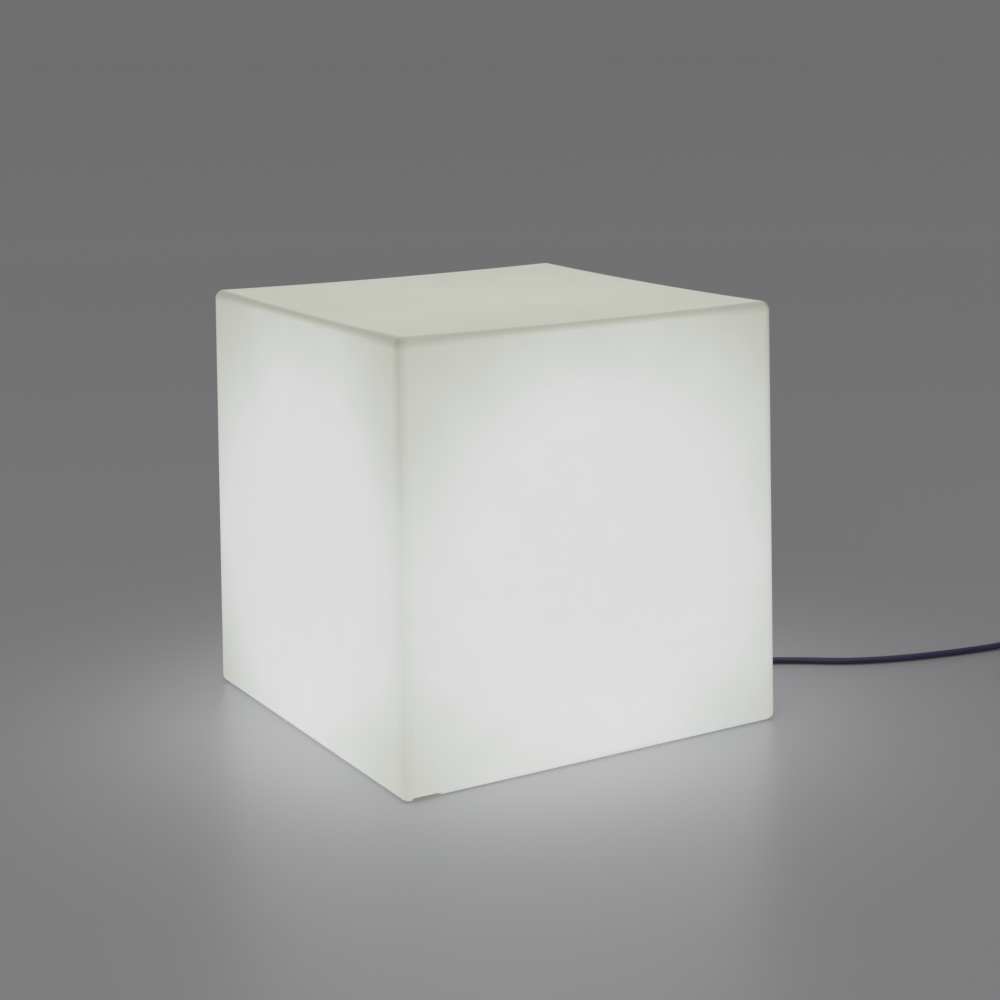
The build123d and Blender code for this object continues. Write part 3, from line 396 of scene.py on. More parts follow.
bpy.ops.object.select_all(action="DESELECT")
bpy.ops.mesh.primitive_circle_add(vertices=4 * points_per_corner, radius=tie_corner, fill_type="NOTHING",
                                  rotation=(math.pi / 2, 0, 0), location=(0, tie_middle.y - tie_half_width, 0))
strap = bpy.context.object
bpy.ops.object.transform_apply(location=True, rotation=True, scale=True)
half_across = (tie_face - tie_low.x) / 2
half_up = (tie_high.z - tie_low.z) / 2
for count, point in enumerate(strap.data.vertices):
    corner, step = divmod(count, points_per_corner)
    angle = math.pi / 2 * (corner + step / (points_per_corner - 1))
    right = 1 if corner in (0, 3) else -1
    above = 1 if corner in (0, 1) else -1
    point.co.x = tie_low.x + half_across + right * (half_across - tie_corner) + tie_corner * math.cos(angle)
    point.co.z = tie_low.z + half_up + above * (half_up - tie_corner) + tie_corner * math.sin(angle)
bpy.ops.object.mode_set(mode="EDIT")
bpy.ops.mesh.select_all(action="SELECT")
bpy.ops.mesh.extrude_region_move(TRANSFORM_OT_translate={"value": (0, 2 * tie_half_width, 0)})
finish_mesh(strap)
apply_to(strap, "SOLIDIFY", thickness=tie_thickness, offset=-1)
soften(strap, tie_softness)
strap.data.materials.append(woven_tie)
flap = new_block("flap", (tie_face + flap_gap, tie_middle.y - flap_half_width, tie_middle.z - flap_half_height),
                 (tie_face + tie_thickness, tie_middle.y + flap_half_width, tie_middle.z + flap_half_height))
soften(flap, tie_softness)
flap.data.materials.append(woven_tie)
buckle = new_block("buckle", (tie_face, tie_low.y, tie_middle.z - buckle_half_height),
                   (tie_high.x, tie_high.y, tie_middle.z + buckle_half_height))
window = (2 * buckle_reach, window_half_height)
way_of_the_strap = (tie_thickness + buckle_gap, 2 * buckle_half_height)
for reach, half_height in (window, way_of_the_strap):
    cut_with(buckle, new_block(
        "room",
        (tie_face - buckle_reach, tie_low.y + buckle_wall, tie_middle.z - half_height),
        (tie_face + reach, tie_high.y - buckle_wall, tie_middle.z + half_height),
    ))
soften(buckle, buckle_softness)
buckle.data.materials.append(grained_finish("tie_nylon", (0.020, 0.020, 0.021), 0.45, 0.0005, 0.00002))
coil_strap = finish_mesh(join_pieces("coil_strap", strap, flap, buckle), angle=35)
stand_for(coil_strap, "tie_black", "light", "coil_tie")

# The cube shell: one hollow moulding in milky polyethylene with a fine matt skin. The lamp's light through it is
# painted on as a glow, most in the middle of each side, less on the top, and least along the edges, where the light has
# the longest way to go. Along the edges its colour is darkened too, as painted shade. The side edges are at their
# faintest in the cube's lower half.
cube_half_width = 0.2
lamp_centre = (0.0, 0.0, 0.172)
side_narrowing = 0.0197
shell_half_height = 0.2
shell_colour = (0.405, 0.41, 0.375)
shell_glow = 0.45
top_glow_share = 0.06
top_glow_spread = 0.085
side_edge_below = 0.6
glow_by_light = [
    (0.00, (0.02, 0.02, 0.015)),
    (0.04, (0.20, 0.20, 0.16)),
    (0.09, (0.42, 0.42, 0.33)),
    (0.15, (0.55, 0.56, 0.45)),
    (0.23, (0.70, 0.72, 0.64)),
    (0.33, (0.85, 0.88, 0.86)),
    (0.44, (0.98, 0.995, 1.01)),
    (0.60, (1.03, 1.03, 1.06)),
]

milky_plastic, tree, shader = new_finish("milky_plastic")
coordinates = add_node(tree, "TexCoord")
place = coordinates.outputs["Object"]
facing = coordinates.outputs["Normal"]
# The painted glow: the lamp's light that falls on a wall, by its slant, over the square of the way in half widths of
# the cube.
from_lamp = work_out_vector(tree, "SUBTRACT", place, lamp_centre).outputs[0]
straight = work_out(tree, "ABSOLUTE", work_out_vector(tree, "DOT_PRODUCT", from_lamp, facing).outputs["Value"])
far = work_out_vector(tree, "LENGTH", from_lamp).outputs["Value"]
light = work_out(tree, "DIVIDE", straight, work_out(tree, "POWER", far, 3.0))
light = work_out(tree, "MULTIPLY", light, cube_half_width**2)
upward = work_out(tree, "MAXIMUM", add_node(tree, "SeparateXYZ", {"Vector": facing}).outputs[2], 0.0)
light = work_out(tree, "MULTIPLY", light, work_out(tree, "MULTIPLY_ADD", upward, top_glow_share - 1, 1.0))
light = work_out(tree, "MULTIPLY_ADD", upward, top_glow_spread, light)
apart = add_node(tree, "SeparateXYZ", {"Vector": place})
across = [work_out(tree, "ABSOLUTE", apart.outputs[axis]) for axis in (0, 1)]
half_width = work_out(tree, "MULTIPLY_ADD", apart.outputs[2], -side_narrowing, cube_half_width)
to_side = work_out(tree, "DIVIDE", work_out(tree, "MAXIMUM", *across), half_width)
to_corner = work_out(tree, "DIVIDE", work_out(tree, "MINIMUM", *across), half_width)
to_top = work_out(tree, "MULTIPLY_ADD", apart.outputs[2], 1 / shell_half_height, -1.0)
upper_half = work_out(tree, "MAXIMUM", to_top, 0.0)
side_edge = work_out(tree, "MULTIPLY_ADD", upper_half, 1 - side_edge_below, side_edge_below)
# Along the edges the painted glow drops, and the colour is darkened as painted shade.
painted_edge_shade = 1.0
for near, start, end, weight, glow_loss, painted_shade_loss in (
    (to_corner, 0.945, 0.995, side_edge, 0.55, 0.30),
    (work_out(tree, "MINIMUM", to_side, to_top), 0.945, 0.985, 1.0, 0.60, 0.28),
):
    edge = add_node(tree, "MapRange", {"Value": near, "From Min": start, "From Max": end},
                    interpolation_type="SMOOTHSTEP").outputs[0]
    edge = work_out(tree, "MULTIPLY", edge, weight)
    light = work_out(tree, "MULTIPLY", light, work_out(tree, "MULTIPLY_ADD", edge, -glow_loss, 1.0))
    painted_edge_shade = work_out(tree, "MULTIPLY", painted_edge_shade, work_out(tree, "MULTIPLY_ADD", edge, -painted_shade_loss, 1.0))
clouds = add_node(tree, "TexNoise", {"Vector": place, "Scale": 7.0, "Detail": 2.0}).outputs["Fac"]
light = work_out(tree, "MULTIPLY", light, work_out(tree, "MULTIPLY_ADD", clouds, 0.5, 0.75))
tree.links.new(colour_steps(tree, light, glow_by_light), shader.inputs["Emission Color"])
shader.inputs["Emission Strength"].default_value = shell_glow
streaks = add_node(tree, "TexNoise", {"Vector": place, "Scale": 30.0, "Detail": 5.0}).outputs["Fac"]
tint = [(0.3, [channel * 0.98 for channel in shell_colour]), (0.7, [channel * 1.02 for channel in shell_colour])]
plain_skin = colour_steps(tree, streaks, tint)
# The plastic's colour, darkened along the edges by the painted shade.
skin = add_node(tree, "VectorMath", {"Vector": plain_skin, "Scale": painted_edge_shade}, operation="SCALE")
tree.links.new(skin.outputs[0], shader.inputs["Base Color"])
shader.inputs["Roughness"].default_value = 0.5
grain = add_node(tree, "TexNoise", {"Vector": place, "Scale": 900.0, "Detail": 3.0}).outputs["Fac"]
waves = add_node(tree, "TexNoise", {"Vector": place, "Scale": 22.0, "Detail": 1.0}).outputs["Fac"]
bump = add_node(tree, "Bump", {"Height": waves, "Strength": 1.0, "Distance": 0.0006}).outputs[0]
bump = add_node(tree, "Bump", {"Height": grain, "Strength": 0.3, "Distance": 0.0002, "Normal": bump}).outputs[0]
tree.links.new(bump, shader.inputs["Normal"])


def dress(finish, *names):
    """Gives CAD nodes their finish."""
    for name in names:
        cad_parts[name].material_slots[0].material = finish


dress(milky_plastic, "cube_shell")

# The threaded inserts, moulded into four bosses over the recess, and the port's foam gasket under them. The inserts are
# knurled brass, and the gasket is closed-cell rubber that the cover presses flat. A Wave texture of scale 1 repeats
# every 0.314 m, so a pitch is turned into a scale by that length.
knurl_pitch = 0.0009
wave_repeat = 0.314
yellow_brass = grained_finish("yellow_brass", (0.70, 0.50, 0.21), 0.30, 0.0005, 0.00001, metallic=1.0)
knurled_brass, tree, shader = new_finish("knurled_brass")
place = add_node(tree, "TexCoord").outputs["Object"]
ridges = []
for lean in (45, -45):
    turn = (0, math.radians(lean), math.radians(lean))
    turned_place = add_node(tree, "Mapping", {"Vector": place, "Rotation": turn}).outputs[0]
    ridge = add_node(tree, "TexWave", {"Vector": turned_place, "Scale": wave_repeat / knurl_pitch},
                     bands_direction="Z")
    ridges.append(ridge.outputs["Fac"])
cut = work_out(tree, "MINIMUM", *ridges)
bump = add_node(tree, "Bump", {"Height": cut, "Strength": 0.8, "Distance": 0.0003})
tree.links.new(bump.outputs[0], shader.inputs["Normal"])
# The brass is painted darker in the knurl's grooves and lighter on its ridges: painted shade.
brass_with_groove_shade = [(0.2, (0.42, 0.28, 0.10)), (0.7, (0.74, 0.55, 0.25))]
tree.links.new(colour_steps(tree, cut, brass_with_groove_shade), shader.inputs["Base Color"])
shader.inputs["Metallic"].default_value = 1.0
shader.inputs["Roughness"].default_value = 0.32
dress(knurled_brass, "threaded_inserts")

gasket_foam, tree, shader = new_finish("gasket_foam")
place = add_node(tree, "TexCoord").outputs["Object"]
cells = add_node(tree, "TexVoronoi", {"Vector": place, "Scale": 2200.0}).outputs["Distance"]
foam_steps = [(0.0, (0.012, 0.012, 0.012)), (0.5, (0.05, 0.05, 0.052))]
tree.links.new(colour_steps(tree, cells, foam_steps), shader.inputs["Base Color"])
bump = add_node(tree, "Bump", {"Height": cells, "Strength": 0.9, "Distance": 0.0002})
tree.links.new(bump.outputs[0], shader.inputs["Normal"])
shader.inputs["Roughness"].default_value = 0.9
dress(gasket_foam, "cover_gasket")

# The base cover, a dark grey moulding in grained plastic that closes the port from below. Its pod takes the gland,
# and its upper side carries the lampholder's bracket.
cover_plastic = grained_finish("cover_plastic", (0.075, 0.08, 0.086), 0.5, 0.0005, 0.00006)
dress(cover_plastic, "base_cover")

# The four cover screws: zinc-plated steel with a pan head and a cross recess, driven up from below into the inserts.
# One is modelled with its cut thread, and copied to each hole.
zinc_steel = grained_finish("zinc_steel", (0.62, 0.63, 0.61), 0.33, 0.0004, 0.000008, change=0.08, metallic=1.0)
cover_underside = 0.026
fixing_circle = 0.08


def turned(name, profile, sides=48, bored=False):
    """A piece turned about the Z axis, drawn ring by ring through (radius, height) points. A solid piece is capped at
    both ends, and the last ring of a bored one is bridged to its first."""
    radius, height = profile[0]
    bpy.ops.object.select_all(action="DESELECT")
    bpy.ops.mesh.primitive_circle_add(vertices=sides, radius=radius, location=(0, 0, height),
                                      fill_type="NOTHING" if bored else "NGON", enter_editmode=True)
    piece = bpy.context.object
    piece.name = name
    for (last_radius, last_height), (radius, height) in zip(profile, profile[1:]):
        bpy.ops.mesh.extrude_region_move(TRANSFORM_OT_translate={"value": (0, 0, height - last_height)})
        share = radius / last_radius
        bpy.ops.transform.resize(value=(share, share, 1), center_override=(0, 0, 0))
    if bored:
        bpy.ops.object.mode_set(mode="OBJECT")
        count = len(piece.data.vertices)
        for edge in piece.data.edges:
            ends = edge.vertices
            edge.select = max(ends) < sides or min(ends) >= count - sides
        bpy.ops.object.mode_set(mode="EDIT")
        bpy.ops.mesh.select_mode(type="EDGE")
        bpy.ops.mesh.bridge_edge_loops()
        bpy.ops.mesh.select_mode(type="VERT")
    return finish_mesh(piece)


def cut_thread(piece, low, high, pitch, depth, rows_per_turn=8, inset=0.0, ends=(0, 0)):
    """Rings the straight walls between two heights, and sinks a rounded right-hand thread in those that lie further
    out than the inset. At each end it runs out to the full radius, or for an end of 1 to the thread's root."""
    bpy.ops.object.mode_set(mode="EDIT")
    bpy.ops.mesh.select_mode(type="EDGE")
    bpy.ops.mesh.select_all(action="DESELECT")
    bpy.ops.object.mode_set(mode="OBJECT")
    points = piece.data.vertices
    for edge in piece.data.edges:
        start, end = (points[count].co for count in edge.vertices)
        edge.select = abs(start.z - end.z) > 0.9 * (high - low) and min(start.z, end.z) > low - 0.0001
    bpy.ops.object.mode_set(mode="EDIT")
    bpy.ops.mesh.subdivide(number_cuts=int((high - low) / pitch * rows_per_turn))
    bpy.ops.mesh.select_mode(type="VERT")
    bpy.ops.object.mode_set(mode="OBJECT")
    for point in piece.data.vertices:
        x, y, z = point.co
        reach = math.hypot(x, y)
        if low - 0.000001 < z < high + 0.000001 and reach > inset:
            wave = 0.5 - 0.5 * math.cos(2 * math.pi * z / pitch - math.atan2(y, x))
            wave = ends[0] + (wave - ends[0]) * min(1, max(0, z - low) / pitch)
            wave = ends[1] + (wave - ends[1]) * min(1, max(0, high - z) / pitch)
            share = 1 - depth * wave / reach
            point.co = (x * share, y * share, z)
    bpy.ops.object.shade_smooth_by_angle(angle=math.radians(40))
    return piece


def cut_cross(piece, depth, width, bottom):
    """Sinks a cross recess, narrower inside, into the underside of a screw's head."""
    half = Vector((2.2 * width, width / 2, depth))
    for quarter in (0, 1):
        bar = new_block("bar", Vector((0, 0, bottom)) - half, Vector((0, 0, bottom)) + half)
        bar.data.transform(Matrix.Rotation(quarter * math.pi / 2, 4, "Z"))
        for point in bar.data.vertices:
            if point.co.z > bottom:
                point.co = (0.5 * point.co.x, 0.5 * point.co.y, point.co.z)
        cut_with(piece, bar)
    return piece


def model_screw(head, head_height, shank, length, pitch):
    """A pan head screw that points up, with the underside of its head at height 0."""
    piece = turned("screw", [
        (0.62 * head, -head_height),
        (0.86 * head, -0.9 * head_height),
        (0.97 * head, -0.66 * head_height),
        (head, -0.35 * head_height),
        (head, -0.06 * head_height),
        (0.97 * head, 0),
        (shank, 0),
        (shank, length - 0.4 * shank),
        (0.55 * shank, length),
    ], sides=32)
    cut_thread(piece, 0.0, length - 0.4 * shank, pitch, depth=0.55 * pitch, rows_per_turn=6)
    cut_cross(piece, depth=0.62 * head_height, width=0.19 * head, bottom=-head_height)
    return finish_mesh(piece, angle=38)


def copy_to(model, name, places):
    """A group of copies of a piece, one at each place. The model itself is removed."""
    copies = []
    for place in places:
        copy = model.copy()
        copy.data = model.data.copy()
        copy.data.transform(place)
        bpy.context.scene.collection.objects.link(copy)
        copies.append(copy)
    bpy.data.objects.remove(model)
    bpy.ops.object.select_all(action="DESELECT")
    for copy in copies:
        copy.select_set(True)
    bpy.context.view_layer.objects.active = copies[0]
    if len(copies) > 1:
        bpy.ops.object.join()
    group = bpy.context.object
    group.name = name
    return group


shift = Matrix.Translation
fixing_places = [
    shift((fixing_circle * math.cos(angle), fixing_circle * math.sin(angle), cover_underside))
    for angle in (math.radians(45 + 90 * count) for count in range(4))
]
screws = copy_to(model_screw(head=0.0048, head_height=0.0032, shank=0.0025, length=0.015, pitch=0.0008),
                 "cover_screw_set", fixing_places)
fit(screws, zinc_steel, "zinc_steel", "light", "cover_screws")

# The cable gland in black nylon: a threaded body through the pod's wall, with a rubber washer outside and a locknut
# inside. Its domed nut has grip ribs, and squeezes a rubber seal on to the cord.
gland_nylon = grained_finish("gland_nylon", (0.022, 0.022, 0.023), 0.42, 0.0005, 0.00003)
seal_rubber = grained_finish("seal_rubber", (0.028, 0.028, 0.029), 0.62, 0.0004, 0.00003)
gland_height = 0.014
gland_nut_ends = (0.0266, 0.0416)
gland_nut_radius = 0.0082
gland_nut_bore = 0.0067
gland_nut_mouth = 0.00455
gland_nut_wall = 0.0022
grip_ribs = 18
rib_depth = 0.0006
dress(gland_nylon, "gland_body", "gland_locknut")
dress(seal_rubber, "gland_washer", "gland_seal", "bend_guard")


def cut_ribs(piece, count, depth, beyond, low, high):
    """Leaves grip ribs round an upright piece, by sinking what lies between them on its outside."""
    for point in piece.data.vertices:
        x, y, z = point.co
        reach = math.hypot(x, y)
        if reach > beyond and low < z < high:
            wave = 0.5 - 0.5 * math.cos(count * math.atan2(y, x))
            share = 1 - depth * min(1, 2 * wave) / reach
            point.co = (x * share, y * share, z)


low, high = gland_nut_ends
nut = turned("ribbed_gland_nut", [
    (gland_nut_bore, low),
    (gland_nut_radius - rib_depth, low),
    (gland_nut_radius, low + 0.0004),
    (gland_nut_radius, high - 0.0055),
    (gland_nut_radius - 0.0001, high - 0.0035),
    (0.93 * gland_nut_radius, high - 0.0019),
    (0.80 * gland_nut_radius, high - 0.0007),
    (0.66 * gland_nut_radius, high),
    (gland_nut_mouth, high),
    (gland_nut_mouth, high - gland_nut_wall),
    (gland_nut_bore, high - gland_nut_wall),
], sides=6 * grip_ribs, bored=True)
cut_ribs(nut, grip_ribs, rib_depth, beyond=gland_nut_radius - rib_depth / 2, low=low, high=high - 0.004)
nut.data.transform(shift((0, 0, gland_height)) @ Matrix.Rotation(math.pi / 2, 4, "Y"))
fit(nut, gland_nylon, "gland_black", "light", "gland_nut")

# Inside the pod, the cord's own sheath runs through the gland to a nylon saddle, which two small screws hold down on
# the pod's pedestal. The sheath ends just behind the saddle.
saddle_middle = -0.001
saddle_screw_offset = 0.0105
saddle_top = 0.01325
sheath_end = -0.012
turned_over = Matrix.Rotation(math.pi, 4, "X")
saddle_screw_places = [
    shift((saddle_middle, side * saddle_screw_offset, saddle_top)) @ turned_over for side in (1, -1)
]
dress(gland_nylon, "cord_clamp")
screws = copy_to(model_screw(head=0.0028, head_height=0.002, shank=0.0015, length=0.007, pitch=0.0007),
                 "saddle_screw_set", saddle_screw_places)
fit(screws, zinc_steel, "zinc_steel", "light", "clamp_screws")


def lay_inside(name, points, radius, finish, slot, node):
    """A stretch of sheath or core inside the light, in place of its CAD node."""
    fit(lay_cord(name, points, radius, steps=8, roundness=4), finish, slot, "light", node)


sheath_points = [(sheath_end, 0, gland_height), (0.01, 0, gland_height), (0.04, 0, gland_height), cord_exit]
lay_inside("sheath_in_gland", sheath_points, cord_diameter / 2, cord_rubber, "cord_rubber", "inner_sheath")

# The three cores leave the sheath in a small spare loop. Brown and blue go up through the nipple to the lampholder's
# terminals, and the green and yellow one goes to the lug that the earth screw holds on the bracket.
core_radius = 0.00115
core_points = [
    (sheath_end, 0.0012124, 0.0147),
    (-0.023, 0.0012124, 0.0147),
    (-0.033, 0.0028, 0.0237),
    (-0.026, 0.0028, 0.0377),
    (-0.008, 0.0014, 0.0457),
    (0, 0.0014, 0.0625),
    (0, 0.0014, 0.076),
    (0, 0.0095, 0.0837),
    (0, 0.0095, 0.0862),
]
earth_points = [
    (sheath_end, 0, 0.0126),
    (-0.019, 0, 0.0126),
    (-0.025, -0.006, 0.0116),
    (-0.029, -0.014, 0.0206),
    (-0.027, -0.024, 0.0366),
    (-0.0166, -0.03405, 0.042),
    (-0.0046, -0.03405, 0.042),
]
core_brown = grained_finish("core_brown", (0.16, 0.060, 0.022), 0.38, 0.0005, 0.00001)
core_blue = grained_finish("core_blue", (0.018, 0.095, 0.42), 0.38, 0.0005, 0.00001)
core_earth, tree, shader = new_finish("core_earth")
coordinates = add_node(tree, "TexCoord")
round_core = add_node(tree, "SeparateXYZ", {"Vector": coordinates.outputs["UV"]}).outputs[1]
stripe = work_out(tree, "PINGPONG", round_core, 0.25)
stripe_steps = [(0.11, (0.62, 0.50, 0.02)), (0.14, (0.02, 0.22, 0.04))]
tree.links.new(colour_steps(tree, stripe, stripe_steps), shader.inputs["Base Color"])
dull = add_node(tree, "TexNoise", {"Vector": coordinates.outputs["Object"], "Scale": 900.0}).outputs["Fac"]
gloss = add_node(tree, "MapRange", {"Value": dull, "To Min": 0.3, "To Max": 0.5})
tree.links.new(gloss.outputs[0], shader.inputs["Roughness"])
bump = add_node(tree, "Bump", {"Height": dull, "Strength": 0.4, "Distance": 0.00005})
tree.links.new(bump.outputs[0], shader.inputs["Normal"])
other_side = [(x, -y, z) for x, y, z in core_points]
lay_inside("blue_core", core_points, core_radius, core_blue, "core_blue", "neutral_wire")
lay_inside("brown_core", other_side, core_radius, core_brown, "core_brown", "live_wire")
lay_inside("earth_core", earth_points, core_radius, core_earth, "core_earth", "earth_wire")
tinned_copper = grained_finish("tinned_copper", (0.68, 0.66, 0.62), 0.36, 0.0003, 0.00002, metallic=1.0)
dress(tinned_copper, "earth_lug")

# The lampholder's bracket: a strip of zinc-plated sheet bent into a hat, with the roll's grain along it. Two screws
# hold its feet on the cover, and a third holds the earth core's lug on its leg.
zinc_sheet = grained_finish("zinc_sheet", (0.60, 0.61, 0.60), 0.38, 0.0007, 0.000012, metallic=1.0,
                            stretch=(1, 0.12, 1))
bracket_foot_top = 0.032
bracket_screw_offset = 0.0465
earth_screw_place = (0, -0.0352, 0.042)
dress(zinc_sheet, "holder_bracket")
foot_places = [shift((0, side * bracket_screw_offset, bracket_foot_top)) @ turned_over for side in (1, -1)]
screws = copy_to(model_screw(head=0.0036, head_height=0.0024, shank=0.0019, length=0.009, pitch=0.0007),
                 "bracket_screw_set", foot_places)
fit(screws, zinc_steel, "zinc_steel", "light", "bracket_screws")
through_leg = shift(earth_screw_place) @ Matrix.Rotation(math.pi / 2, 4, "X")
screw = copy_to(model_screw(head=0.0036, head_height=0.0024, shank=0.0020, length=0.006, pitch=0.0007),
                "earth_bolt", [through_leg])
fit(screw, yellow_brass, "yellow_brass", "light", "earth_screw")

# The nipple that carries the lampholder and lets the cores through: a steel tube threaded all along its outside, with
# a hexagon nut under the bracket.
low, high = 0.0594, 0.0756
nipple_tube = turned("threaded_nipple", [
    (0.0038, 0.0590),
    (0.0046, 0.0590),
    (0.0050, low),
    (0.0050, high),
    (0.0046, 0.0760),
    (0.0038, 0.0760),
], bored=True)
cut_thread(nipple_tube, low, high, pitch=0.001, depth=0.0004, rows_per_turn=6, inset=0.0042)
fit(nipple_tube, zinc_steel, "zinc_steel", "light", "nipple")
dress(zinc_steel, "nipple_nut")

# The lampholder's outside in black phenolic: a cap that screws on the nipple, and a skirt with grip ribs that screws
# on the cap and traps the insert between them.
phenolic = grained_finish("phenolic", (0.024, 0.023, 0.023), 0.27, 0.0005, 0.00001)
skirt_ribs = 36
skirt_rib_depth = 0.0005
dress(phenolic, "holder_cap", "holder_insert")
skirt = turned("ribbed_skirt", [
    (0.0180, 0.0820),
    (0.0195, 0.0820),
    (0.0198, 0.0823),
    (0.0198, 0.0828),
    (0.0198, 0.0834),
    (0.0198, 0.0936),
    (0.0198, 0.0942),
    (0.0197, 0.0949),
    (0.0193, 0.0962),
    (0.0174, 0.1038),
    (0.0172, 0.1052),
    (0.0172, 0.1224),
    (0.0168, 0.1230),
    (0.0142, 0.1230),
    (0.0139, 0.1227),
    (0.0139, 0.0950),
    (0.0180, 0.0950),
], sides=6 * skirt_ribs, bored=True)
cut_ribs(skirt, skirt_ribs, skirt_rib_depth, beyond=0.0192, low=0.0830, high=0.0940)
fit(skirt, phenolic, "phenolic_black", "light", "holder_skirt")

# Inside the lampholder: brass terminals with a slotted screw each, a bronze leaf that the bulb's tip presses on, and
# the contact shell, pressed from thin brass with the rounded thread that takes the bulb.
bronze_leaf = grained_finish("bronze_leaf", (0.62, 0.37, 0.17), 0.28, 0.0005, 0.000008, metallic=1.0,
                             stretch=(1, 0.15, 1))
terminal_screw_height = 0.0891
terminal_face = 0.012
slot_half_width = 0.00025
slot_bottom = 0.0019
bulb_pitch = 0.00362
bulb_thread_depth = 0.00095
dress(yellow_brass, "holder_terminals")
dress(bronze_leaf, "contact_spring")
grub = turned("grub", [(0.0010, 0), (0.0014, 0.0004), (0.0014, 0.0024), (0.0010, 0.0028)], sides=32)
cut_thread(grub, 0.0004, 0.0024, pitch=0.0005, depth=0.0002, rows_per_turn=6)
cut_with(grub, new_block("slot", (-0.002, -slot_half_width, slot_bottom), (0.002, slot_half_width, 0.0035)))
screws = copy_to(grub, "terminal_screw_set", [
    shift((0, side * terminal_face, terminal_screw_height)) @ Matrix.Rotation(-side * math.pi / 2, 4, "X")
    for side in (1, -1)
])
fit(finish_mesh(screws), zinc_steel, "zinc_steel", "light", "terminal_screws")
low, high = 0.0965, 0.1180
shell = turned("rolled_contact_shell", [
    (0.0102, 0.0950),
    (0.0134, 0.0950),
    (0.0137, 0.0953),
    (0.0137, low),
    (0.0137, high),
    (0.0132, high),
    (0.0132, low),
    (0.0132, 0.0958),
    (0.0129, 0.0955),
    (0.0102, 0.0955),
], sides=96, bored=True)
cut_thread(shell, low, high, bulb_pitch, bulb_thread_depth, rows_per_turn=12)
fit(shell, yellow_brass, "yellow_brass", "light", "contact_shell")

# The bulb's screw end: a soldered tip, a collar of black glass, and a cap of nickel-plated sheet whose rolled thread
# runs in the contact shell's. It is crimped on the neck of the housing, which has the same thread moulded on it.
solder = grained_finish("solder", (0.60, 0.60, 0.62), 0.30, 0.0012, 0.00006, metallic=1.0)
cap_glass = grained_finish("cap_glass", (0.012, 0.012, 0.016), 0.12, 0.0012, 0.00003)
nickel_cap = grained_finish("nickel_cap", (0.64, 0.62, 0.58), 0.24, 0.0005, 0.000008, metallic=1.0)
dress(solder, "bulb_tip")
collar = turned("glass_collar", [
    (0.0049, 0.0996),
    (0.0054, 0.0998),
    (0.0075, 0.1007),
    (0.0096, 0.1019),
    (0.0110, 0.1032),
    (0.0114, 0.1040),
], sides=64)
fit(collar, cap_glass, "cap_glass", "bulb", "bulb_insulator")
low, high = 0.1054, 0.1220
cap = turned("rolled_screw_cap", [
    (0.0065, 0.1040),
    (0.0112, 0.1040),
    (0.0119, 0.1046),
    (0.0131, low),
    (0.0131, high),
    (0.0128, high),
    (0.0128, 0.1056),
    (0.0117, 0.1049),
    (0.0110, 0.1043),
    (0.0065, 0.1043),
], sides=96, bored=True)
cut_thread(cap, low, high, bulb_pitch, bulb_thread_depth, rows_per_turn=12, ends=(1, 0))
fit(cap, nickel_cap, "nickel_cap", "bulb", "bulb_cap")

# The bulb's housing, a white moulding that flares from the neck to the rim, and holds the driver and the LED board.
bulb_white = grained_finish("bulb_white", (0.83, 0.83, 0.81), 0.33, 0.0006, 0.00001, change=0.02)
flare_bow = 0.003


def bowed(start, end, bow, steps):
    """Points on an arc from one (radius, height) point to the other, bowed outwards and down."""
    start, end = Vector(start), Vector(end)
    chord = end - start
    half = chord.length / 2
    radius = (half**2 + bow**2) / (2 * bow)
    outward = Vector((chord.y, -chord.x)).normalized()
    centre = (start + end) / 2 + outward * (bow - radius)
    spread = math.asin(half / radius)
    points = []
    for count in range(steps + 1):
        angle = spread * (2 * count / steps - 1)
        points.append(tuple(centre + radius * (outward * math.cos(angle) + chord.normalized() * math.sin(angle))))
    return points


low, high = 0.1100, 0.1220
housing = turned("bulb_housing_shell", [
    (0.0111, low),
    (0.0127, low),
    (0.0127, high),
    (0.0131, high),
    *bowed((0.0131, 0.1250), (0.0293, 0.1520), flare_bow, 14),
    (0.0293, 0.1556),
    (0.0289, 0.1560),
    (0.0280, 0.1560),
    (0.0277, 0.1557),
    (0.0277, 0.1520),
    (0.0261, 0.1520),
    *reversed(bowed((0.0111, 0.1250), (0.0261, 0.1504), flare_bow, 14)),
], sides=96, bored=True)
cut_thread(housing, low, high, bulb_pitch, bulb_thread_depth, rows_per_turn=12, inset=0.0120, ends=(1, 0))
fit(finish_mesh(housing, angle=40), bulb_white, "bulb_white", "bulb", "bulb_housing")

# The driver stands on edge in the neck: a green lacquered board with tinned tracks, a black capacitor on one side
# and a wound choke on the other. The colour sockets of a Mix node share their names, so they go by number.
board_half_thickness = 0.00085
first_colour, second_colour, mixed_colour = 6, 7, 2
driver_finish, tree, shader = new_finish("driver_finish")
place = add_node(tree, "TexCoord").outputs["Object"]
across_board = add_node(tree, "SeparateXYZ", {"Vector": place}).outputs[0]
tracks = add_node(tree, "TexVoronoi", {"Vector": place, "Scale": 420.0}, feature="DISTANCE_TO_EDGE")
track_steps = [(0.05, (0.018, 0.16, 0.055)), (0.07, (0.010, 0.085, 0.030))]
board = colour_steps(tree, tracks.outputs["Distance"], track_steps)
wire = add_node(tree, "TexWave", {"Vector": place, "Scale": 1200.0}, bands_direction="Z").outputs["Fac"]
choke = colour_steps(tree, wire, [(0.2, (0.16, 0.045, 0.012)), (0.8, (0.48, 0.18, 0.05))])
sleeve = colour_steps(tree, wire, [(0.0, (0.012, 0.013, 0.02)), (1.0, (0.03, 0.032, 0.045))])
shown = board
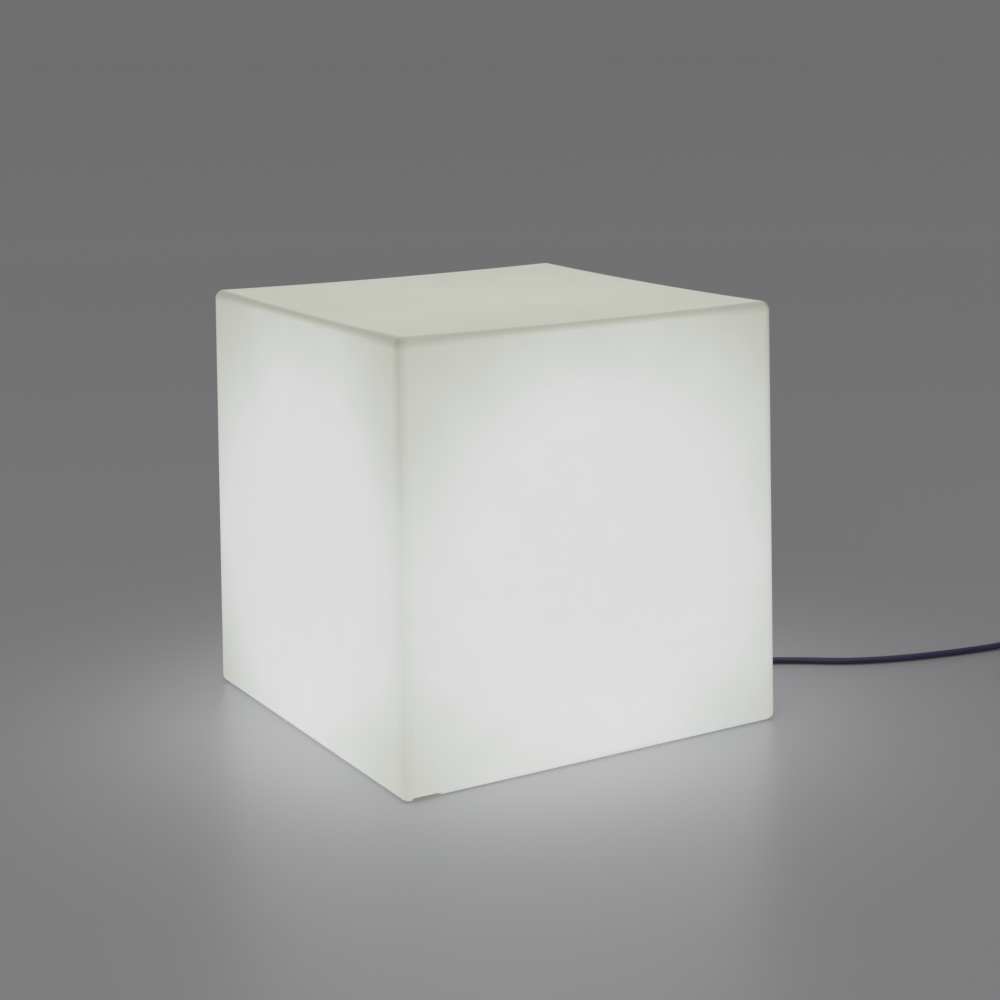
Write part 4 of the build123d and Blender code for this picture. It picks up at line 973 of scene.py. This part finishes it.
for side, other in ((-1.0, choke), (1.0, sleeve)):
    beyond = work_out(tree, "GREATER_THAN", work_out(tree, "MULTIPLY", across_board, side), board_half_thickness)
    mixed = add_node(tree, "Mix", {"Factor": beyond}, data_type="RGBA")
    tree.links.new(shown, mixed.inputs[first_colour])
    tree.links.new(other, mixed.inputs[second_colour])
    shown = mixed.outputs[mixed_colour]
tree.links.new(shown, shader.inputs["Base Color"])
bump = add_node(tree, "Bump", {"Height": wire, "Strength": 0.5, "Distance": 0.00006})
tree.links.new(bump.outputs[0], shader.inputs["Normal"])
shader.inputs["Roughness"].default_value = 0.35
dress(driver_finish, "driver_board")

# The LED board, aluminium under white lacquer with a ring track to its twelve chips. Each chip is cast in yellow
# phosphor, and glows.
chip_circle = 0.016
track_half_width = 0.0009
track_edge = 1.2 * track_half_width
led_board, tree, shader = new_finish("led_board")
place = add_node(tree, "TexCoord").outputs["Object"]
level_place = work_out_vector(tree, "MULTIPLY", place, (1, 1, 0)).outputs[0]
from_axis = work_out_vector(tree, "LENGTH", level_place).outputs["Value"]
off_track = work_out(tree, "ABSOLUTE", work_out(tree, "SUBTRACT", from_axis, chip_circle))
lacquer = add_node(tree, "MapRange", {"Value": off_track, "From Min": track_half_width, "From Max": track_edge})
lacquer_steps = [(0.0, (0.72, 0.71, 0.66)), (1.0, (0.80, 0.80, 0.78))]
tree.links.new(colour_steps(tree, lacquer.outputs[0], lacquer_steps), shader.inputs["Base Color"])
specks = add_node(tree, "TexNoise", {"Vector": place, "Scale": 1500.0}).outputs["Fac"]
height = work_out(tree, "MULTIPLY_ADD", specks, 0.2, work_out(tree, "SUBTRACT", 1.0, lacquer.outputs[0]))
bump = add_node(tree, "Bump", {"Height": height, "Strength": 0.8, "Distance": 0.00005})
tree.links.new(bump.outputs[0], shader.inputs["Normal"])
shader.inputs["Roughness"].default_value = 0.3
dress(led_board, "led_board")
led_phosphor = grained_finish("led_phosphor", (0.86, 0.70, 0.16), 0.35, 0.0004, 0.00002)
glowing = led_phosphor.node_tree.nodes["Principled BSDF"]
glowing.inputs["Emission Color"].default_value = (1.0, 0.86, 0.5, 1)
glowing.inputs["Emission Strength"].default_value = 0.6
dress(led_phosphor, "led_chips")

# The bulb's globe, blown in opal plastic with a matt skin. It glows evenly, and a little less towards its rim.
globe_rim = 0.153
full_glow_height = 0.185
globe_glow = 0.35
opal, tree, shader = new_finish("opal")
place = add_node(tree, "TexCoord").outputs["Object"]
height = add_node(tree, "SeparateXYZ", {"Vector": place}).outputs[2]
rising = add_node(tree, "MapRange", {"Value": height, "From Min": globe_rim, "From Max": full_glow_height})
glow_steps = [(0.0, (0.62, 0.60, 0.52)), (1.0, (1.0, 0.98, 0.92))]
tree.links.new(colour_steps(tree, rising.outputs[0], glow_steps), shader.inputs["Emission Color"])
shader.inputs["Emission Strength"].default_value = globe_glow
clouds = add_node(tree, "TexNoise", {"Vector": place, "Scale": 60.0, "Detail": 3.0}).outputs["Fac"]
opal_steps = [(0.3, (0.80, 0.80, 0.77)), (0.7, (0.84, 0.84, 0.82))]
tree.links.new(colour_steps(tree, clouds, opal_steps), shader.inputs["Base Color"])
grain = add_node(tree, "TexNoise", {"Vector": place, "Scale": 2500.0, "Detail": 2.0}).outputs["Fac"]
bump = add_node(tree, "Bump", {"Height": grain, "Strength": 0.3, "Distance": 0.00004})
tree.links.new(bump.outputs[0], shader.inputs["Normal"])
shader.inputs["Roughness"].default_value = 0.42
dress(opal, "bulb_diffuser")

# The plug, moulded on the cord's end in black rubber with a fine ribbed skin, its two nickel-plated pins, and the
# earth strips in its side slots.
flat_of_the_grip = 0.995
plug_rubber, tree, shader = new_finish("plug_rubber")
coordinates = add_node(tree, "TexCoord")
place = coordinates.outputs["Object"]
ribs = add_node(tree, "TexWave", {"Vector": place, "Scale": 210.0}, bands_direction="X").outputs["Fac"]
grain = add_node(tree, "TexNoise", {"Vector": place, "Scale": 3000.0, "Detail": 3.0}).outputs["Fac"]
wear = add_node(tree, "TexNoise", {"Vector": place, "Scale": 60.0, "Detail": 3.0}).outputs["Fac"]
wear_steps = [(0.3, (0.016, 0.016, 0.019)), (0.7, (0.028, 0.028, 0.032))]
tree.links.new(colour_steps(tree, wear, wear_steps), shader.inputs["Base Color"])
gloss = add_node(tree, "MapRange", {"Value": wear, "To Min": 0.40, "To Max": 0.60})
tree.links.new(gloss.outputs[0], shader.inputs["Roughness"])
facing = add_node(tree, "SeparateXYZ", {"Vector": coordinates.outputs["Normal"]})
on_flat = work_out(tree, "GREATER_THAN", work_out(tree, "ABSOLUTE", facing.outputs[1]), flat_of_the_grip)
height = work_out(tree, "MULTIPLY_ADD", grain, 0.12, work_out(tree, "MULTIPLY", ribs, on_flat))
bump = add_node(tree, "Bump", {"Height": height, "Strength": 1.0, "Distance": 0.0003})
tree.links.new(bump.outputs[0], shader.inputs["Normal"])
dress(plug_rubber, "plug_body")
pin_nickel = grained_finish("pin_nickel", (0.70, 0.68, 0.62), 0.22, 0.0004, 0.000006, metallic=1.0, stretch=(0.1, 1, 1))
dress(pin_nickel, "plug_pins", "plug_earth_contacts")
